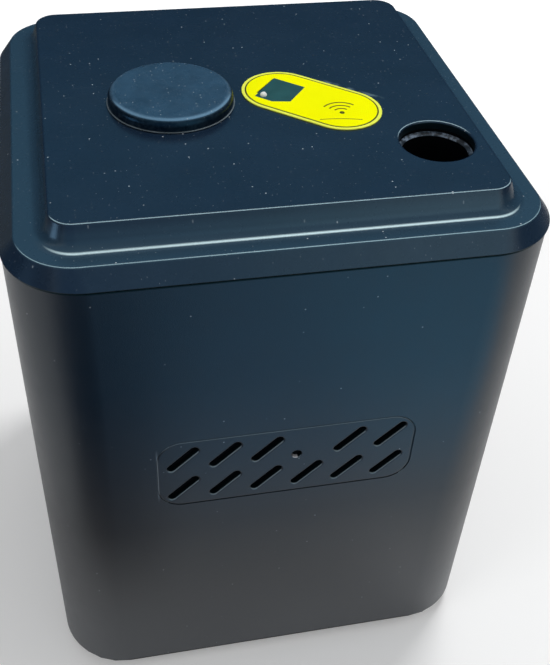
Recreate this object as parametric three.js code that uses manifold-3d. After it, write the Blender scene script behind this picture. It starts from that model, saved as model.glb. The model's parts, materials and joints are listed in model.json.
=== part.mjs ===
// A compact cold spark machine: a square case with a stepped lid. Metal granules are poured in under
// the round cap, carried by a feed screw to an induction-heated chamber, and blown out of the nozzle.
// Millimetres, +Z up, -Y to the front, origin at the middle of the footprint, on the floor.
import * as THREE from "three";
import { mergeVertices } from "three/addons/utils/BufferGeometryUtils.js";
import Module from "manifold-3d";

const wasm = await Module();
wasm.setup();

// Sizes that several pieces share
const caseWidth = 200; // across the foot of the lid, left to right
const caseDepth = 198.5; // across the foot of the lid, front to back
const seatGap = 0.3; // between pieces that rest on or pass through each other
const cutOverrun = 3; // how far a cutting tool runs past what it cuts
const plateThickness = 2; // sheet metal of the deck and the brackets
const boardThickness = 1.6; // circuit boards
const frontClearance = 6; // least space between the walls and what stands near them
const sides = { tiny: 8, small: 12, medium: 20, large: 24, fine: 32, finest: 36 }; // of round pieces

const lid = {
  footCornerRadius: 28.6,
  skirtRise: 7.2,
  skirtInset: 5.5,
  ledgeCornerRadius: 21.1,
  ledgeWidth: 5.1, // flat ledge, up to where the fillet of the raised wall starts
  filletRun: 1.8,
  filletRise: 1.9,
  filletMidRunShare: 0.6,
  filletMidRiseShare: 0.25,
  filletCornerRadius: 13.8,
  platformInset: 12.3, // from the ledge's edge to the edge of the raised top
  platformRise: 8.4, // from the ledge to the raised top
  platformCornerRadius: 5.2,
  wall: 3.3,
  lipDepth: 6,
  lipThickness: 2,
  lipRiseShare: 0.25, // of the skirt's rise, up to where the lip ends inside it
  bossRadius: 5,
  windowMargin: 0.6,
};
const shell = {
  height: 228.7,
  setback: 0.3, // the body's faces lie this far inside the foot of the lid
  cornerRadius: 29.2,
  wall: 2.5,
};
const vent = {
  padWidth: 104.7,
  padHeight: 36.5,
  padRadius: 10,
  padProud: 0.25,
  topBelowLid: 78.2, // from the foot of the lid to the top edge of the front pad
  columns: 6,
  rows: 2,
  columnPitch: 16.95,
  rowPitch: 17.2,
  slotLength: 17.6,
  slotWidth: 3.9,
  slotAngle: Math.PI / 4,
  eyeRadius: 2.1, // round hole at the foot of the fourth slot's place
  eyeColumn: 3,
  endSteps: 3,
};
const foot = { height: 6, radius: 9, edge: 0.3, stemRadius: 3, stemHeadRadius: 4.2, stemHeadRise: 2.5 };
const base = { thickness: 1.5, setback: 0.8, bossRadius: 4, bossRise: 6 };
const post = { inset: 20, radius: 5, neckRadius: 3.5, studRadius: 2, studRise: 8 };
const screw = { radius: 1.8, headRadius: 3.4, headRise: 1.4, crownShare: 0.8, length: 9 };
const deck = { clearanceBelow: 62, setback: 1 };

// Places from the middle of the case, as shares of its width and depth
const nozzleWidthShare = 0.3175;
const nozzleDepthShare = -0.2343;
const hopperWidthShare = -0.161;
const hopperDepthShare = -0.02;
const labelWidthShare = 0.1125;
const labelDepthShare = -0.051;
const footWidthShare = 0.33;
const footDepthShare = 0.335;

const nozzle = {
  holeRadius: 15.1,
  boreRadius: 13.35,
  wall: 1.5,
};
const label = {
  length: 60.7,
  width: 32,
  thickness: 0.5,
  glue: 0.1,
  angle: (-40 * Math.PI) / 180,
  windowSize: 14,
  windowOffset: 13.6, // from the label's middle to the window's middle, along the label
  windowThickness: 0.4,
};
const display = { rise: 6.5, boardLength: 46, boardWidth: 24, pinRadius: 1.5, pinInset: 2.25 };
const cap = {
  radius: 25.1,
  topRadius: 24.4,
  rise: 5.1,
  edgeRadius: 1.6,
  edgeShare: 0.3,
  plugDepth: 12,
  plugWall: 3,
};
const hopper = {
  radius: 40,
  wall: 2,
  neckRadius: 21,
  neckProud: 1,
  shoulderBelowLid: 22, // from the raised top down to the tank's shoulder
  shoulderRise: 5,
  coneShare: 0.5, // of the height between the shoulder and the outlet
  outletRadius: 9,
  outletDepth: 9,
  outletSeat: 2.1, // how far the outlet reaches into the feed tube's stub
};
const screwFeed = {
  axisAboveDeck: 60,
  tubeRadius: 11,
  tubeWall: 1.6,
  tubeBehind: 16, // from the hopper's axis back to the tube's closed end
  stubRadius: 12.5,
  stubRise: 19,
  shaftRadius: 3,
  flightPitch: 20,
  flightThickness: 1.6,
  flightRootShare: 0.7, // of the shaft's radius
  flightClearance: 0.5,
  flightSteps: 10,
  bushThickness: 3,
  couplerRadius: 6,
  couplerLength: 11,
};
const motor = {
  gearboxLength: 24,
  gearboxWidth: 30,
  gearboxRise: 40,
  canRadius: 12.2,
  canLength: 24,
  canEdge: 1.2,
  shaftRadius: 2,
  shaftBite: 4,
  shaftClearance: 0.45,
};
const bracket = { width: 34, footLength: 16, collar: 3 };
const chamber = {
  wall: 2,
  flangeRadius: 24,
  flangeThickness: 2,
  aboveFeed: 28.3, // from the feed screw's axis up to the chamber's top
  socketDepth: 8,
  diffuserRise: 6,
  diffuserThickness: 2,
  diffuserHoleRadius: 2.2,
  diffuserHoles: 6,
  tailDepth: 4,
};
const bobbin = { wall: 4, flangeRadius: 24.5, flangeThickness: 2, rise: 37 };
const coil = { wireRadius: 2, turns: 4, gap: 0.6, turnGap: 1.4, wireSides: 6, stepsPerTurn: 24 };
const thermostat = { radius: 6, thickness: 5, earLength: 20, earWidth: 6, earThickness: 1.2, aboveBobbin: 9 };
const blower = {
  size: 54,
  thickness: 24,
  wall: 2,
  eyeRadius: 15,
  outletWidth: 20,
  impellerRadius: 19,
  impellerClearance: 2.5,
  blades: 12,
  bladeLength: 5,
  bladeThickness: 1,
  hubRadius: 8,
  discThickness: 1.5,
  pinRadius: 2,
};
const duct = { wall: 1.5 };
const fan = {
  size: 80,
  thickness: 20,
  rim: 2.5, // from the bore to the middle of each side
  hubRadius: 13,
  hubDepth: 6,
  strutWidth: 4,
  struts: 4,
  strutThickness: 3,
  bladeClearance: 1.5,
  blades: 7,
  bladeThickness: 1.4,
  bladeTilt: (50 * Math.PI) / 180,
  bladeChord: 12,
  bladeRootShare: 0.8, // of the hub's radius
  holeInset: 4.3,
  pinRadius: 2,
};
const rearVent = { columns: 4, rows: 3, centreAboveDeck: 82, endSteps: 2 };
const tray = {
  windowWidth: 136,
  windowHeight: 44,
  cornerRadius: 5,
  wall: 2,
  depth: 11,
  flange: 5,
  aboveBase: 10, // from the base plate's top to the window's lower edge
};
const socketFlange = { thickness: 2, bodyDepth: 18 };
const inlet = {
  width: 31,
  height: 38,
  cavityWidth: 25,
  cavityHeight: 17,
  cavityDepth: 15,
  cavityCut: 5,
  cavityAbove: 6.5, // from the inlet's middle up to the cavity's middle
  pinWidth: 2,
  pinHeight: 4,
  pinPitch: 7,
  pinLength: 13,
  pinDrop: 2,
  bodyWall: 1.5,
};
const fuse = { width: 22, height: 8, depth: 14, lip: 1.6, below: 11.5, gripRadius: 1.2, gripWidth: 11 };
const rocker = {
  width: 15,
  height: 21,
  paddleWidth: 10.5,
  paddleReach: 7.2, // from the pivot up or down to the paddle's ends
  endRise: 2.2, // from the pivot out to the ends of the face
  middleRise: 1.4,
  keelDepth: 6,
  keelReach: 2.4,
  skirtDepth: 1,
  pivotDepth: 1, // below the frame's face
  tilt: (8 * Math.PI) / 180, // each way from level
};
const dmx = {
  width: 26,
  height: 31,
  cornerRadius: 3,
  barrelRadius: 11.5,
  boreRadius: 8.6,
  boreDepth: 12,
  pinRadius: 1.2,
  pinCircle: 3.9,
  coreRadius: 7.4,
  contactRadius: 1.5,
  latchWidth: 6,
  latchHeight: 4,
  latchLength: 7,
  latchInset: 1,
  latchTravel: 1.5,
};
const supply = {
  width: 52,
  height: 34,
  footGap: 1.8, // to the foot's stem on its left
  blowerGap: 3.5, // to the blower on its right
  terminalLength: 10,
  terminalWidth: 36,
  terminalHeight: 12,
};
const driver = { length: 92, width: 66 };
const sink = { rise: 26, length: 70, width: 34, base: 4, fins: 7, finThickness: 1.6 };
const control = {
  length: 78,
  width: 30,
  chipSize: 12,
  chipRise: 2.2,
  headerLength: 20,
  headerWidth: 5,
  headerRise: 7,
};
const eyeSensor = { width: 12, height: 9, thickness: 4, lensRise: 1.6 };

// Heights, worked out upwards from the floor
const baseBottom = foot.height + seatGap;
const baseTop = baseBottom + base.thickness;
const shellBottom = baseTop + seatGap;
const shellTop = shellBottom + shell.height;
const lidBottom = shellTop + seatGap;
const ledgeZ = lidBottom + lid.skirtRise;
const topZ = ledgeZ + lid.platformRise;
const ceilingZ = topZ - lid.wall;
const deckBottom = baseTop + deck.clearanceBelow;
const deckTop = deckBottom + plateThickness;
const feedZ = deckTop + screwFeed.axisAboveDeck;

// Faces and places worked out from the case
const shellWidth = caseWidth - 2 * shell.setback;
const shellDepth = caseDepth - 2 * shell.setback;
const innerWidth = shellWidth - 2 * shell.wall;
const innerDepth = shellDepth - 2 * shell.wall;
const frontFace = -shellDepth / 2;
const rearFace = shellDepth / 2;
const rearInner = innerDepth / 2;
const frontInner = -innerDepth / 2;
const nozzleAt = new THREE.Vector2(nozzleWidthShare * caseWidth, nozzleDepthShare * caseDepth);
const hopperAt = new THREE.Vector2(hopperWidthShare * caseWidth, hopperDepthShare * caseDepth);
const labelAt = new THREE.Vector2(labelWidthShare * caseWidth, labelDepthShare * caseDepth);
const feedRun = nozzleAt.clone().sub(hopperAt);
const feedAngle = feedRun.angle();
const ventTop = lidBottom - vent.topBelowLid;
const ventZ = ventTop - vent.padHeight / 2;
const frontVentAt = { x: 0, z: ventZ };
const rearVentZ = deckTop + rearVent.centreAboveDeck;
const fanAt = { x: 0, z: rearVentZ };
const trayZ = baseTop + tray.aboveBase + tray.windowHeight / 2;
const trayFloor = rearFace - tray.depth;
const screwSeat = rearFace - screw.headRise - seatGap; // foot of the pockets that sink the fan's screw heads
const postAt = new THREE.Vector2(caseWidth / 2 - post.inset, caseDepth / 2 - post.inset);
const footAt = new THREE.Vector2(footWidthShare * caseWidth, footDepthShare * caseDepth);
const blowerX = blower.outletWidth / 2 + blower.wall - blower.size / 2; // from the nozzle's axis
const CORNERS = [
  ["front_left", -1, -1],
  ["front_right", 1, -1],
  ["rear_right", 1, 1],
  ["rear_left", -1, 1],
];
const atCorner = (place, sx, sy) => ({ x: sx * place.x, y: sy * place.y });

// Materials
const finish = (color, roughness, metalness = 0) =>
  new THREE.MeshStandardMaterial({ color, roughness, metalness });
const blackPlastic = finish(0x1b1f23, 0.5);
const blackPaint = finish(0x1d2023, 0.45, 0.1);
const blackRubber = finish(0x15181b, 0.7);
const yellowFilm = finish(0xf2ea10, 0.35);
const darkWindow = finish(0x2b4f4c, 0.2);
const steel = finish(0x9a9da0, 0.35, 0.9);
const zinc = finish(0xb4b6b4, 0.4, 0.85);
const copper = finish(0xb87046, 0.35, 0.9);
const brass = finish(0xb89a4c, 0.35, 0.9);
const ceramic = finish(0xe4dfd2, 0.7);
const boardGreen = finish(0x17502c, 0.5);
const greyPlastic = finish(0x3a3e42, 0.55);
const clearPlastic = finish(0xd9dcd8, 0.4);
const aluminium = finish(0xb9bcc0, 0.4, 0.85);

// Solids
function solidOf(geometry) {
  const bare = geometry.clone();
  bare.deleteAttribute("normal");
  bare.deleteAttribute("uv");
  const merged = mergeVertices(bare, 1e-4);
  const made = new wasm.Manifold(
    new wasm.Mesh({
      numProp: 3,
      vertProperties: merged.attributes.position.array,
      triVerts: new Uint32Array(merged.index.array),
    }),
  );
  return made;
}

function geometryOf(solid) {
  const mesh = solid.getMesh();
  const geometry = new THREE.BufferGeometry();
  geometry.setAttribute("position", new THREE.BufferAttribute(mesh.vertProperties, 3));
  geometry.setIndex(new THREE.BufferAttribute(mesh.triVerts, 1));
  geometry.computeVertexNormals();
  return geometry;
}

// Joins the first list of geometries and cuts the second list out of them.
function carve(joined, cut = []) {
  let solid = solidOf(joined[0]);
  for (const geometry of joined.slice(1)) solid = solid.add(solidOf(geometry));
  for (const geometry of cut) solid = solid.subtract(solidOf(geometry));
  return geometryOf(solid);
}

// A box between two corners
function block(low, high) {
  const size = high.map((value, i) => value - low[i]);
  const geometry = new THREE.BoxGeometry(...size);
  return geometry.translate(...low.map((value, i) => value + size[i] / 2));
}

// A box standing on z, centred on x and y
const brick = (x, y, z, width, depth, height) =>
  block([x - width / 2, y - depth / 2, z], [x + width / 2, y + depth / 2, z + height]);

// An upright cylinder from one height to another
function rod(radius, from, to, at = { x: 0, y: 0 }, count = sides.large) {
  const geometry = new THREE.CylinderGeometry(radius, radius, to - from, count);
  return geometry.rotateX(Math.PI / 2).translate(at.x, at.y, (from + to) / 2);
}

// The same lying front to back, from one y to a larger one
const bar = (radius, from, to, at, count = sides.tiny) =>
  new THREE.CylinderGeometry(radius, radius, to - from, count).translate(at.x, (from + to) / 2, at.z);

// A solid of revolution about Z from a closed outline of [radius, height] points
function turned(outline, count = sides.fine) {
  const area = outline.reduce((sum, [r, z], i) => {
    const [rNext, zNext] = outline[(i + 1) % outline.length];
    return sum + r * zNext - rNext * z;
  }, 0);
  const points = (area > 0 ? outline : [...outline].reverse()).map(([r, z]) => new THREE.Vector2(r, z));
  const closed = [...points, points[0].clone()];
  return new THREE.LatheGeometry(closed, count).rotateX(Math.PI / 2);
}

// Points of a rounded rectangle, anticlockwise, the same number for every size
function roundedOutline(width, depth, radius, cornerSteps = 6) {
  const r = Math.min(radius, width / 2, depth / 2);
  const points = [];
  CORNERS.forEach(([, sx, sy], corner) => {
    for (let i = 0; i <= cornerSteps; i++) {
      const angle = Math.PI + (corner + i / cornerSteps) * (Math.PI / 2);
      points.push(
        new THREE.Vector2(
          sx * (width / 2 - r) + r * Math.cos(angle),
          sy * (depth / 2 - r) + r * Math.sin(angle),
        ),
      );
    }
  });
  return points;
}

// A closed solid through rounded rectangles of { width, depth, radius, z }, from the lowest up
function loft(rings, cornerSteps = 6) {
  const outlines = rings.map((ring) => roundedOutline(ring.width, ring.depth, ring.radius, cornerSteps));
  const count = outlines[0].length;
  const positions = [];
  outlines.forEach((points, k) => points.forEach((p) => positions.push(p.x, p.y, rings[k].z)));
  positions.push(0, 0, rings[0].z, 0, 0, rings.at(-1).z);
  const lowest = rings.length * count;
  const highest = lowest + 1;
  const faces = [];
  for (let i = 0; i < count; i++) {
    const next = (i + 1) % count;
    for (let k = 0; k + 1 < rings.length; k++) {
      const a = k * count + i;
      const b = k * count + next;
      faces.push(a, b, b + count, a, b + count, a + count);
    }
    const top = (rings.length - 1) * count;
    faces.push(lowest, next, i, highest, top + i, top + next);
  }
  const geometry = new THREE.BufferGeometry();
  geometry.setAttribute("position", new THREE.Float32BufferAttribute(positions, 3));
  geometry.setIndex(faces);
  return geometry;
}

const roundedShape = (width, height, radius, cornerSteps = 4) =>
  new THREE.Shape(roundedOutline(width, height, radius, cornerSteps));

// A slab of a flat shape, from one height to another
function slab(shape, from, to, curveSegments = sides.small) {
  const geometry = new THREE.ExtrudeGeometry(shape, { depth: to - from, bevelEnabled: false, curveSegments });
  return geometry.translate(0, 0, from);
}

// The same standing up: the shape faces front and back, from one y to a larger one
const upright = (shape, from, to, at, curveSegments) =>
  slab(shape, -to, -from, curveSegments).rotateX(Math.PI / 2).translate(at.x, 0, at.z);

// A slot with round ends, turned by an angle
function slot(length, width, angle = 0, x = 0, y = 0) {
  const r = width / 2;
  const half = length / 2 - r;
  const shape = new THREE.Shape();
  const ux = Math.cos(angle);
  const uy = Math.sin(angle);
  shape.absarc(x + half * ux, y + half * uy, r, angle - Math.PI / 2, angle + Math.PI / 2);
  shape.absarc(x - half * ux, y - half * uy, r, angle + Math.PI / 2, angle + 1.5 * Math.PI);
  return shape;
}

const root = new THREE.Group();

function place(name, geometry, material, at = [0, 0, 0], parent = root) {
  const mesh = new THREE.Mesh(geometry, material);
  mesh.name = name;
  mesh.position.set(...at);
  parent.add(mesh);
  return mesh;
}

// Case

// Middles of the slots in a block of slots, by column and row
function slotPlaces(columns, rows) {
  const places = [];
  for (let row = 0; row < rows; row++)
    for (let column = 0; column < columns; column++)
      places.push({
        column,
        row,
        x: (column - (columns - 1) / 2) * vent.columnPitch,
        z: (row - (rows - 1) / 2) * vent.rowPitch,
      });
  return places;
}

const rearVentSize = {
  width: vent.padWidth - (vent.columns - rearVent.columns) * vent.columnPitch,
  height: vent.padHeight - (vent.rows - rearVent.rows) * vent.rowPitch,
};
const fanHoles = CORNERS.map(([name, sx, sz]) => ({
  name: name.replace("front", "lower").replace("rear", "upper"),
  x: sx * (fan.size / 2 - fan.holeInset),
  z: rearVentZ + sz * (fan.size / 2 - fan.holeInset),
}));
const slotReach = (vent.slotLength - vent.slotWidth) / 2;
const eyeAt = {
  x: (vent.eyeColumn - (vent.columns - 1) / 2) * vent.columnPitch - slotReach * Math.cos(vent.slotAngle),
  z: ventZ + vent.rowPitch / 2 - slotReach * Math.sin(vent.slotAngle),
};

function bodyShell() {
  const ring = (z) => ({ width: shellWidth, depth: shellDepth, radius: shell.cornerRadius, z });
  const innerRadius = shell.cornerRadius - shell.wall;
  const hollow = (z) => ({ width: innerWidth, depth: innerDepth, radius: innerRadius, z });
  const pad = roundedShape(vent.padWidth, vent.padHeight, vent.padRadius);
  const rearPad = roundedShape(rearVentSize.width, rearVentSize.height, vent.padRadius);
  const joined = [
    loft([ring(shellBottom), ring(shellTop)]),
    upright(pad, frontFace - vent.padProud, frontFace + shell.wall / 2, frontVentAt),
    upright(rearPad, rearFace - shell.wall / 2, rearFace + vent.padProud, fanAt),
  ];
  const cuts = [loft([hollow(shellBottom - cutOverrun), hollow(shellTop + cutOverrun)])];
  for (const { column, row, x, z } of slotPlaces(vent.columns, vent.rows)) {
    if (column === vent.eyeColumn && row === vent.rows - 1) continue;
    const shape = slot(vent.slotLength, vent.slotWidth, vent.slotAngle, x, z);
    cuts.push(upright(shape, frontFace - cutOverrun, frontInner + cutOverrun, frontVentAt, vent.endSteps));
  }
  cuts.push(bar(vent.eyeRadius, frontFace - cutOverrun, frontInner + cutOverrun, eyeAt, sides.small));
  for (const { x, z } of slotPlaces(rearVent.columns, rearVent.rows)) {
    const shape = slot(vent.slotLength, vent.slotWidth, vent.slotAngle, x, z);
    cuts.push(upright(shape, rearInner - cutOverrun, rearFace + cutOverrun, fanAt, rearVent.endSteps));
  }
  for (const fanHole of fanHoles) {
    cuts.push(bar(screw.radius + seatGap, rearInner - cutOverrun, rearFace + cutOverrun, fanHole));
    cuts.push(bar(screw.headRadius + seatGap, screwSeat, rearFace + cutOverrun, fanHole, sides.small));
  }
  const window = roundedShape(tray.windowWidth, tray.windowHeight, tray.cornerRadius);
  cuts.push(upright(window, rearInner - cutOverrun, rearFace + cutOverrun, { x: 0, z: trayZ }));
  return carve(joined, cuts);
}

const lidRing = (inset, radius, z) => ({
  width: caseWidth - 2 * inset,
  depth: caseDepth - 2 * inset,
  radius,
  z,
});

function lidSolid() {
  const filletFoot = lid.skirtInset + lid.ledgeWidth;
  const outside = loft([
    lidRing(0, lid.footCornerRadius, lidBottom),
    lidRing(lid.skirtInset, lid.ledgeCornerRadius, ledgeZ),
    lidRing(filletFoot, lid.filletCornerRadius + lid.filletRun, ledgeZ),
    lidRing(
      filletFoot + lid.filletRun * lid.filletMidRunShare,
      lid.filletCornerRadius + lid.filletRun * (1 - lid.filletMidRunShare),
      ledgeZ + lid.filletRise * lid.filletMidRiseShare,
    ),
    lidRing(filletFoot + lid.filletRun, lid.filletCornerRadius, ledgeZ + lid.filletRise),
    lidRing(lid.skirtInset + lid.platformInset, lid.platformCornerRadius, topZ),
  ]);
  const lipOuter = {
    width: innerWidth - 2 * seatGap,
    depth: innerDepth - 2 * seatGap,
    radius: shell.cornerRadius - shell.wall - seatGap,
  };
  const lipInner = {
    width: lipOuter.width - 2 * lid.lipThickness,
    depth: lipOuter.depth - 2 * lid.lipThickness,
    radius: lipOuter.radius - lid.lipThickness,
  };
  const lipBottom = lidBottom - lid.lipDepth;
  const lipTop = lidBottom + lid.skirtRise * lid.lipRiseShare;
  const lip = loft([
    { ...lipOuter, z: lipBottom },
    { ...lipOuter, z: lipTop },
  ], 4);
  const underLedge = ledgeZ - lid.wall;
  const inside = loft([
    { ...lipInner, z: lipBottom - cutOverrun },
    { ...lipInner, z: lipTop },
    lidRing(lid.skirtInset + lid.wall, lid.ledgeCornerRadius - lid.wall, underLedge),
    lidRing(filletFoot + lid.wall, lid.filletCornerRadius, underLedge),
    lidRing(lid.skirtInset + lid.platformInset + lid.wall, lid.platformCornerRadius, ceilingZ),
  ], 4);
  const joined = [geometryOf(solidOf(outside).add(solidOf(lip)).subtract(solidOf(inside)))];
  const underCut = ceilingZ - cutOverrun;
  const overCut = topZ + cutOverrun;
  const windowShape = roundedShape(label.windowSize, label.windowSize, lid.windowMargin);
  const windowCut = slab(windowShape, underCut, overCut);
  windowCut.translate(-label.windowOffset, 0, 0).rotateZ(label.angle).translate(labelAt.x, labelAt.y, 0);
  const cuts = [
    rod(nozzle.holeRadius, underCut, overCut, nozzleAt, sides.finest),
    rod(hopper.neckRadius + seatGap, underCut, overCut, hopperAt),
    windowCut,
  ];
  const studTop = lipBottom + post.studRise + seatGap;
  for (const [, sx, sy] of CORNERS) {
    const at = atCorner(postAt, sx, sy);
    joined.push(rod(lid.bossRadius, lipBottom, ledgeZ - lid.wall / 2, at, sides.small));
    cuts.push(rod(post.studRadius + seatGap, lipBottom - cutOverrun, studTop, at, sides.tiny));
  }
  return carve(joined, cuts);
}

function basePlate() {
  const outline = roundedShape(
    shellWidth - 2 * base.setback,
    shellDepth - 2 * base.setback,
    shell.cornerRadius - base.setback,
    6,
  );
  const joined = [slab(outline, baseBottom, baseTop)];
  for (const at of fourPosts(driverAt, driver))
    joined.push(rod(base.bossRadius, baseBottom, baseTop + base.bossRise, at, sides.tiny));
  const cuts = [];
  const hole = (radius, at) =>
    rod(radius + seatGap, baseBottom - cutOverrun, baseTop + cutOverrun, at, sides.small);
  for (const [, sx, sy] of CORNERS)
    cuts.push(hole(screw.radius, atCorner(postAt, sx, sy)), hole(foot.stemRadius, atCorner(footAt, sx, sy)));
  return carve(joined, cuts);
}

function footSolid() {
  const neckTop = baseTop + seatGap;
  return turned([
    [0, 0],
    [foot.radius - foot.edge, 0],
    [foot.radius, foot.height / 2],
    [foot.radius, foot.height],
    [foot.stemRadius, foot.height],
    [foot.stemRadius, neckTop],
    [foot.stemHeadRadius, neckTop],
    [foot.stemRadius / 2, neckTop + foot.stemHeadRise],
    [0, neckTop + foot.stemHeadRise],
  ], sides.small);
}

function postSolid() {
  const shoulder = deckBottom - seatGap;
  const top = lidBottom - lid.lipDepth - seatGap;
  const bottom = baseTop + seatGap;
  const solid = turned([
    [0, bottom],
    [post.radius, bottom],
    [post.radius, shoulder],
    [post.neckRadius, shoulder],
    [post.neckRadius, top],
    [post.studRadius, top],
    [post.studRadius, top + post.studRise],
    [0, top + post.studRise],
  ], sides.small);
  const threadTop = bottom + screw.length + seatGap;
  const thread = rod(screw.radius + seatGap, bottom - cutOverrun, threadTop, undefined, sides.small);
  return carve([solid], [thread]);
}

// A pan-head screw whose head hangs below z = 0 and whose shank rises from it
function screwSolid() {
  return turned([
    [0, -screw.headRise],
    [screw.headRadius * screw.crownShare, -screw.headRise],
    [screw.headRadius, -screw.headRise / 2],
    [screw.headRadius, 0],
    [screw.radius, 0],
    [screw.radius, screw.length],
    [0, screw.length],
  ], sides.tiny);
}

function deckPlate() {
  const outline = roundedShape(
    innerWidth - 2 * deck.setback,
    innerDepth - 2 * deck.setback,
    shell.cornerRadius - shell.wall - deck.setback,
    6,
  );
  const joined = [slab(outline, deckBottom, deckTop)];
  for (const at of fourPosts(controlAt, control))
    joined.push(rod(base.bossRadius, deckBottom, deckTop + base.bossRise, at, sides.tiny));
  const hole = (radius, at, count) =>
    rod(radius + seatGap, deckBottom - cutOverrun, deckTop + cutOverrun, at, count);
  const cuts = [hole(nozzle.boreRadius + chamber.wall, nozzleAt, sides.medium)];
  for (const [, sx, sy] of CORNERS) cuts.push(hole(post.neckRadius, atCorner(postAt, sx, sy), sides.small));
  return carve(joined, cuts);
}

// Electronics

const supplyLeft = -footAt.x + foot.stemHeadRadius + supply.footGap;
const supplyRight = nozzleAt.x + blowerX - blower.size / 2 - supply.blowerGap;
const supplyY = frontInner + frontClearance + supply.width / 2;
const driverAt = {
  x: -innerWidth / 2 + frontClearance + driver.length / 2,
  y: supplyY + supply.width / 2 + frontClearance + driver.width / 2,
};
const controlAt = {
  x: -control.length / 4,
  y: frontInner + frontClearance * 2 + control.width / 2,
};

// Places of the posts under the four corners of a board
const fourPosts = (at, board) =>
  CORNERS.map(([, sx, sy]) => ({
    x: at.x + sx * (board.length / 2 - base.bossRadius),
    y: at.y + sy * (board.width / 2 - base.bossRadius),
  }));

// The enclosure, with its lower terminal block at the blower's end
function supplySolid() {
  const z = baseTop + seatGap;
  const enclosureRight = supplyRight - supply.terminalLength;
  const enclosure = block(
    [supplyLeft, supplyY - supply.width / 2, z],
    [enclosureRight, supplyY + supply.width / 2, z + supply.height],
  );
  const terminals = block(
    [enclosureRight - supply.terminalLength, supplyY - supply.terminalWidth / 2, z],
    [supplyRight, supplyY + supply.terminalWidth / 2, z + supply.terminalHeight],
  );
  return carve([enclosure, terminals]);
}

function driverBoard(z) {
  return brick(driverAt.x, driverAt.y, z, driver.length, driver.width, boardThickness);
}

function heatSink(z) {
  const joined = [brick(driverAt.x, driverAt.y, z, sink.length, sink.width, sink.base)];
  for (let i = 0; i < sink.fins; i++) {
    const y = driverAt.y + (i / (sink.fins - 1) - 0.5) * (sink.width - sink.finThickness);
    joined.push(brick(driverAt.x, y, z, sink.length, sink.finThickness, sink.rise));
  }
  return carve(joined);
}

function controlSolid(z) {
  const chipX = controlAt.x - control.length / 4;
  const headerX = controlAt.x + control.length / 4;
  const headerTop = boardThickness + control.headerRise;
  return carve([
    brick(controlAt.x, controlAt.y, z, control.length, control.width, boardThickness),
    brick(chipX, controlAt.y, z, control.chipSize, control.chipSize, boardThickness + control.chipRise),
    brick(headerX, controlAt.y, z, control.headerLength, control.headerWidth, headerTop),
  ]);
}

// Top: label, display, cap and hopper

const onLabel = new THREE.Group();
onLabel.position.set(labelAt.x, labelAt.y, 0);
onLabel.rotation.z = label.angle;
root.add(onLabel);

function labelSolid() {
  const shape = slot(label.length, label.width);
  const half = label.windowSize / 2;
  const hole = new THREE.Path();
  const x = -label.windowOffset;
  hole.moveTo(x - half, -half);
  hole.lineTo(x - half, half);
  hole.lineTo(x + half, half);
  hole.lineTo(x + half, -half);
  hole.closePath();
  shape.holes.push(hole);
  return slab(shape, topZ + label.glue, topZ + label.glue + label.thickness, sides.medium);
}

function windowSolid() {
  const size = label.windowSize - 2 * lid.windowMargin;
  const top = topZ + label.glue + label.thickness;
  return brick(-label.windowOffset, 0, top - label.windowThickness, size, size, label.windowThickness);
}

const displayTop = topZ + label.glue + label.thickness - label.windowThickness - seatGap;
const displayBoardTop = ceilingZ - display.rise;

function digitSolid() {
  const size = label.windowSize - 2 * lid.windowMargin - seatGap;
  const bottom = displayBoardTop + seatGap;
  return brick(-label.windowOffset, 0, bottom, size, size, displayTop - bottom);
}

function displayBoard() {
  const z = displayBoardTop - boardThickness;
  const joined = [brick(0, 0, z, display.boardLength, display.boardWidth, boardThickness)];
  const pinAt = {
    x: display.boardLength / 2 - display.pinInset,
    y: display.boardWidth / 2 - display.pinInset,
  };
  for (const [, sx, sy] of CORNERS)
    joined.push(rod(display.pinRadius, z, ceilingZ - seatGap, atCorner(pinAt, sx, sy), sides.small));
  return carve(joined);
}

const neckInner = hopper.neckRadius - hopper.wall;

function capSolid() {
  const z = topZ + seatGap;
  const neckTop = topZ + hopper.neckProud;
  const roof = neckTop + seatGap;
  const plugRadius = neckInner - seatGap;
  const outline = [
    [0, z + cap.rise],
    [cap.topRadius - cap.edgeRadius, z + cap.rise],
    [cap.topRadius - cap.edgeRadius * cap.edgeShare, z + cap.rise - cap.edgeRadius * cap.edgeShare],
    [cap.topRadius, z + cap.rise - cap.edgeRadius],
    [cap.radius, z],
    [hopper.neckRadius + seatGap, z],
    [hopper.neckRadius + seatGap, roof],
    [plugRadius, roof],
    [plugRadius - seatGap, z - cap.plugDepth],
    [plugRadius - cap.plugWall, z - cap.plugDepth],
    [plugRadius - cap.plugWall, roof],
    [0, roof],
  ];
  return turned(outline);
}

const hopperTop = topZ - hopper.shoulderBelowLid;
const shoulderFoot = hopperTop - hopper.shoulderRise;
const hopperSeam = shoulderFoot - hopper.wall; // where the two mouldings of the hopper meet
const outletBottom = feedZ + screwFeed.stubRise - hopper.outletSeat;
const coneBottom = outletBottom + hopper.outletDepth;
const coneTop = coneBottom + (shoulderFoot - coneBottom) * hopper.coneShare;

// Upper moulding: the filler neck and the shoulder
function hopperNeck() {
  const neckTop = topZ + hopper.neckProud;
  const w = hopper.wall;
  return turned([
    [hopper.neckRadius, neckTop],
    [hopper.neckRadius, hopperTop],
    [hopper.radius, shoulderFoot],
    [hopper.radius, hopperSeam],
    [hopper.radius - w, hopperSeam],
    [hopper.radius - w, shoulderFoot - w / 2],
    [neckInner, hopperTop - w / 2],
    [neckInner, neckTop],
  ], sides.medium);
}

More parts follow.
